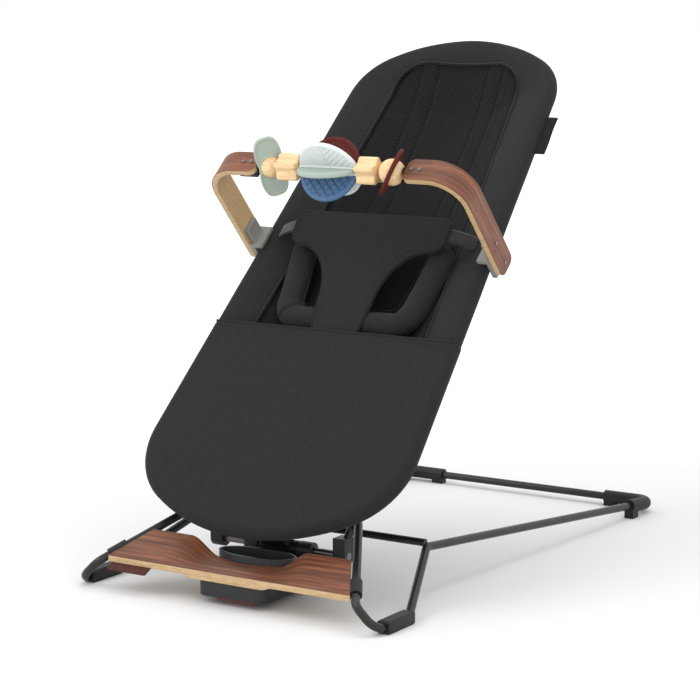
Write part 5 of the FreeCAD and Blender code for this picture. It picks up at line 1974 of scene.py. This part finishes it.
@dataclass
class BaseAndHub:
    """Wire base, spring arms and hub: the frame's own parts, with moulded parts rounded."""

    looks: Looks
    rib_count: int = 9
    barrel_half: float = 29.0
    barrel_y: float = -267.5
    barrel_z: float = 55.0
    barrel_r: float = 9.2

    def build(self) -> None:
        """Round the moulded parts and add the barrel's ribs."""
        for name in ("left", "right"):
            foot = softened("foot_sleeve_" + name, "front_foot_" + name, 1.0 * MM)
            finish_piece(foot, Body.BASE, "black_plastic", self.looks["black_nylon"], ("front_foot_" + name,))
            socket = softened("arm_block_" + name, "arm_socket_" + name, 1.4 * MM)
            finish_piece(socket, Body.CARRIER, "black_plastic", self.looks["charcoal_abs"],
                         ("arm_socket_" + name,))
        housing = softened("hub_shell", "hub_housing", 1.2 * MM)
        finish_piece(housing, Body.CARRIER, "grey_plastic", self.looks["charcoal_abs"], ("hub_housing",))
        slider = softened("lock_tab", "lock_slider", 0.7 * MM)
        finish_piece(slider, Body.LOCK, "red_plastic", self.looks["red_abs"], ("lock_slider",))
        x = np.linspace(-self.barrel_half, self.barrel_half, self.rib_count * 8 + 1)
        turns = 2 * math.pi * (x + self.barrel_half) / (2 * self.barrel_half) * self.rib_count
        wave = 0.5 - 0.5 * np.cos(turns)
        radius = self.barrel_r + 1.1 * np.clip(wave * 1.6, 0, 1)
        angles = np.linspace(0, 2 * math.pi, 48, endpoint=False)
        rings = np.stack([np.repeat(x[:, None], 48, 1),
                          self.barrel_y + radius[:, None] * np.cos(angles)[None],
                          self.barrel_z + radius[:, None] * np.sin(angles)[None]], -1) * MM
        ribs = grid_piece("barrel_ribs", rings, close_columns=True)
        thicken(ribs, 0.5 * MM, 0.0)
        outward(ribs)
        finish_piece(ribs, Body.SEAT, "black_plastic", self.looks["black_nylon"])

    def dress_nodes(self) -> None:
        """Give every part of the frame that shows its own finish."""
        looks = {"base_rod": "black_powder_coat", "rear_cross_tube": "black_powder_coat",
                 "front_cross_bar": "black_powder_coat", "spring_arm": "black_powder_coat",
                 "cross_shaft": "zinc_steel", "seat_frame": "black_powder_coat",
                 "seat_cross_tube": "black_powder_coat", "hinge_bracket": "black_nylon",
                 "rear_shoe": "black_nylon", "board_clip": "black_nylon", "foot_soles": "black_rubber",
                 "hub_base_plate": "charcoal_abs", "board_screws": "zinc_steel", "hub_screws": "zinc_steel",
                 "toy_rod": "zinc_steel", "arm_bolts": "zinc_steel", "clamp_screws": "zinc_steel",
                 "rod_bracket": "black_nylon", "wing_ball": "beech", "disc_ball": "beech",
                 "lobed_bead": "beech", "fin_hub": "white_silicone"}
        for node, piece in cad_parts.items():
            for start, look in looks.items():
                if node.startswith(start):
                    if not piece.material_slots:
                        piece.data.materials.append(self.looks[look])
                    for slot in piece.material_slots:
                        slot.material = self.looks[look]
                    LOG.info("%s is finished in %s", node, look)


# ---------------------------------------------------------------- studio

@dataclass
class Studio:
    """Pale floor, white world, soft lights, and the camera."""

    eye: tuple[float, float, float] = (1.592, -2.5925, 0.752)
    aim: tuple[float, float, float] = (0.0, -0.1015, 0.2903)
    lens_mm: float = 114.64
    sensor_mm: float = 36.0
    floor_half: float = 40.0
    paper: str = "e9e9e9"
    far_glow: float = 0.4

    def build_floor(self) -> None:
        """Large matt floor."""
        r = self.floor_half
        floor = new_mesh("floor", [(-r, -r, 0), (r, -r, 0), (r, r, 0), (-r, r, 0)], [(0, 1, 2, 3)])
        material = bpy.data.materials.new("studio_paper")
        material.use_nodes = True
        tree = material.node_tree
        shader = tree.nodes["Principled BSDF"]
        shader.inputs["Base Color"].default_value = linear(self.paper)
        shader.inputs["Roughness"].default_value = 0.9
        shader.inputs["Specular IOR Level"].default_value = 0.1
        shader.inputs["Emission Color"].default_value = linear("ffffff")
        source = add_node(tree, "ShaderNodeTexCoord")
        away = add_node(tree, "ShaderNodeVectorMath", {0: source.outputs["Object"]}, operation="LENGTH")
        glow = add_node(tree, "ShaderNodeMapRange",
                        {"Value": away.outputs["Value"], "From Min": 0.7, "From Max": 2.2,
                                                     "To Max": self.far_glow})
        tree.links.new(glow.outputs["Result"], shader.inputs["Emission Strength"])
        floor.data.materials.append(material)

    def add_light(self, name: str, at: tuple[float, float, float], size: float, power: float) -> None:
        """Square soft light that faces the seat.

        Args:
            name: the piece's name.
            at: its place.
            size: its size.
            power: its strength.
        """
        data = bpy.data.lights.new(name, "AREA")
        data.shape = "SQUARE"
        data.size = size
        data.energy = power
        light = bpy.data.objects.new(name, data)
        light.location = at
        light.rotation_euler = (Vector((0, 0, 0.3)) - Vector(at)).to_track_quat("-Z", "Y").to_euler()
        bpy.context.scene.collection.objects.link(light)

    def build(self) -> None:
        """Make the floor, the lights and the camera."""
        self.build_floor()
        world = bpy.data.worlds.new("studio")
        bpy.context.scene.world = world
        world.use_nodes = True
        world.node_tree.nodes["Background"].inputs["Color"].default_value = linear("ffffff")
        world.node_tree.nodes["Background"].inputs["Strength"].default_value = 1.0
        self.add_light("key", (-1.6, -2.2, 2.6), 1.8, 27)
        self.add_light("fill", (2.6, -1.4, 1.6), 2.0, 11)
        self.add_light("top", (0.2, 0.6, 3.0), 2.2, 18)
        camera = bpy.data.objects.new("camera", bpy.data.cameras.new("camera"))
        camera.data.lens = self.lens_mm
        camera.data.sensor_width = self.sensor_mm
        camera.location = self.eye
        camera.rotation_euler = (Vector(self.aim) - Vector(self.eye)).to_track_quat("-Z", "Y").to_euler()
        bpy.context.scene.collection.objects.link(camera)
        bpy.context.scene.camera = camera
        bpy.context.scene.view_settings.view_transform = "Standard"


def main() -> None:
    """Build the seat round the frame."""
    logging.basicConfig(level=logging.INFO, format="%(name)s: %(message)s")
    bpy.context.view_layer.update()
    Studio().build()
    looks = Looks()
    looks.build()
    plane = SeatPlane()
    bar = BarPlane(plane)
    base = BaseAndHub(looks)
    base.dress_nodes()
    base.build()
    Footboard(looks).build()
    Cover(plane, looks).build()
    InfantInsert(plane, looks).build()
    Harness(plane, looks).build()
    BarArms(bar, looks).build()
    Fins(bar, looks).build()
    HangingToys(bar, looks).build()


if __name__ == "__main__":
    main()
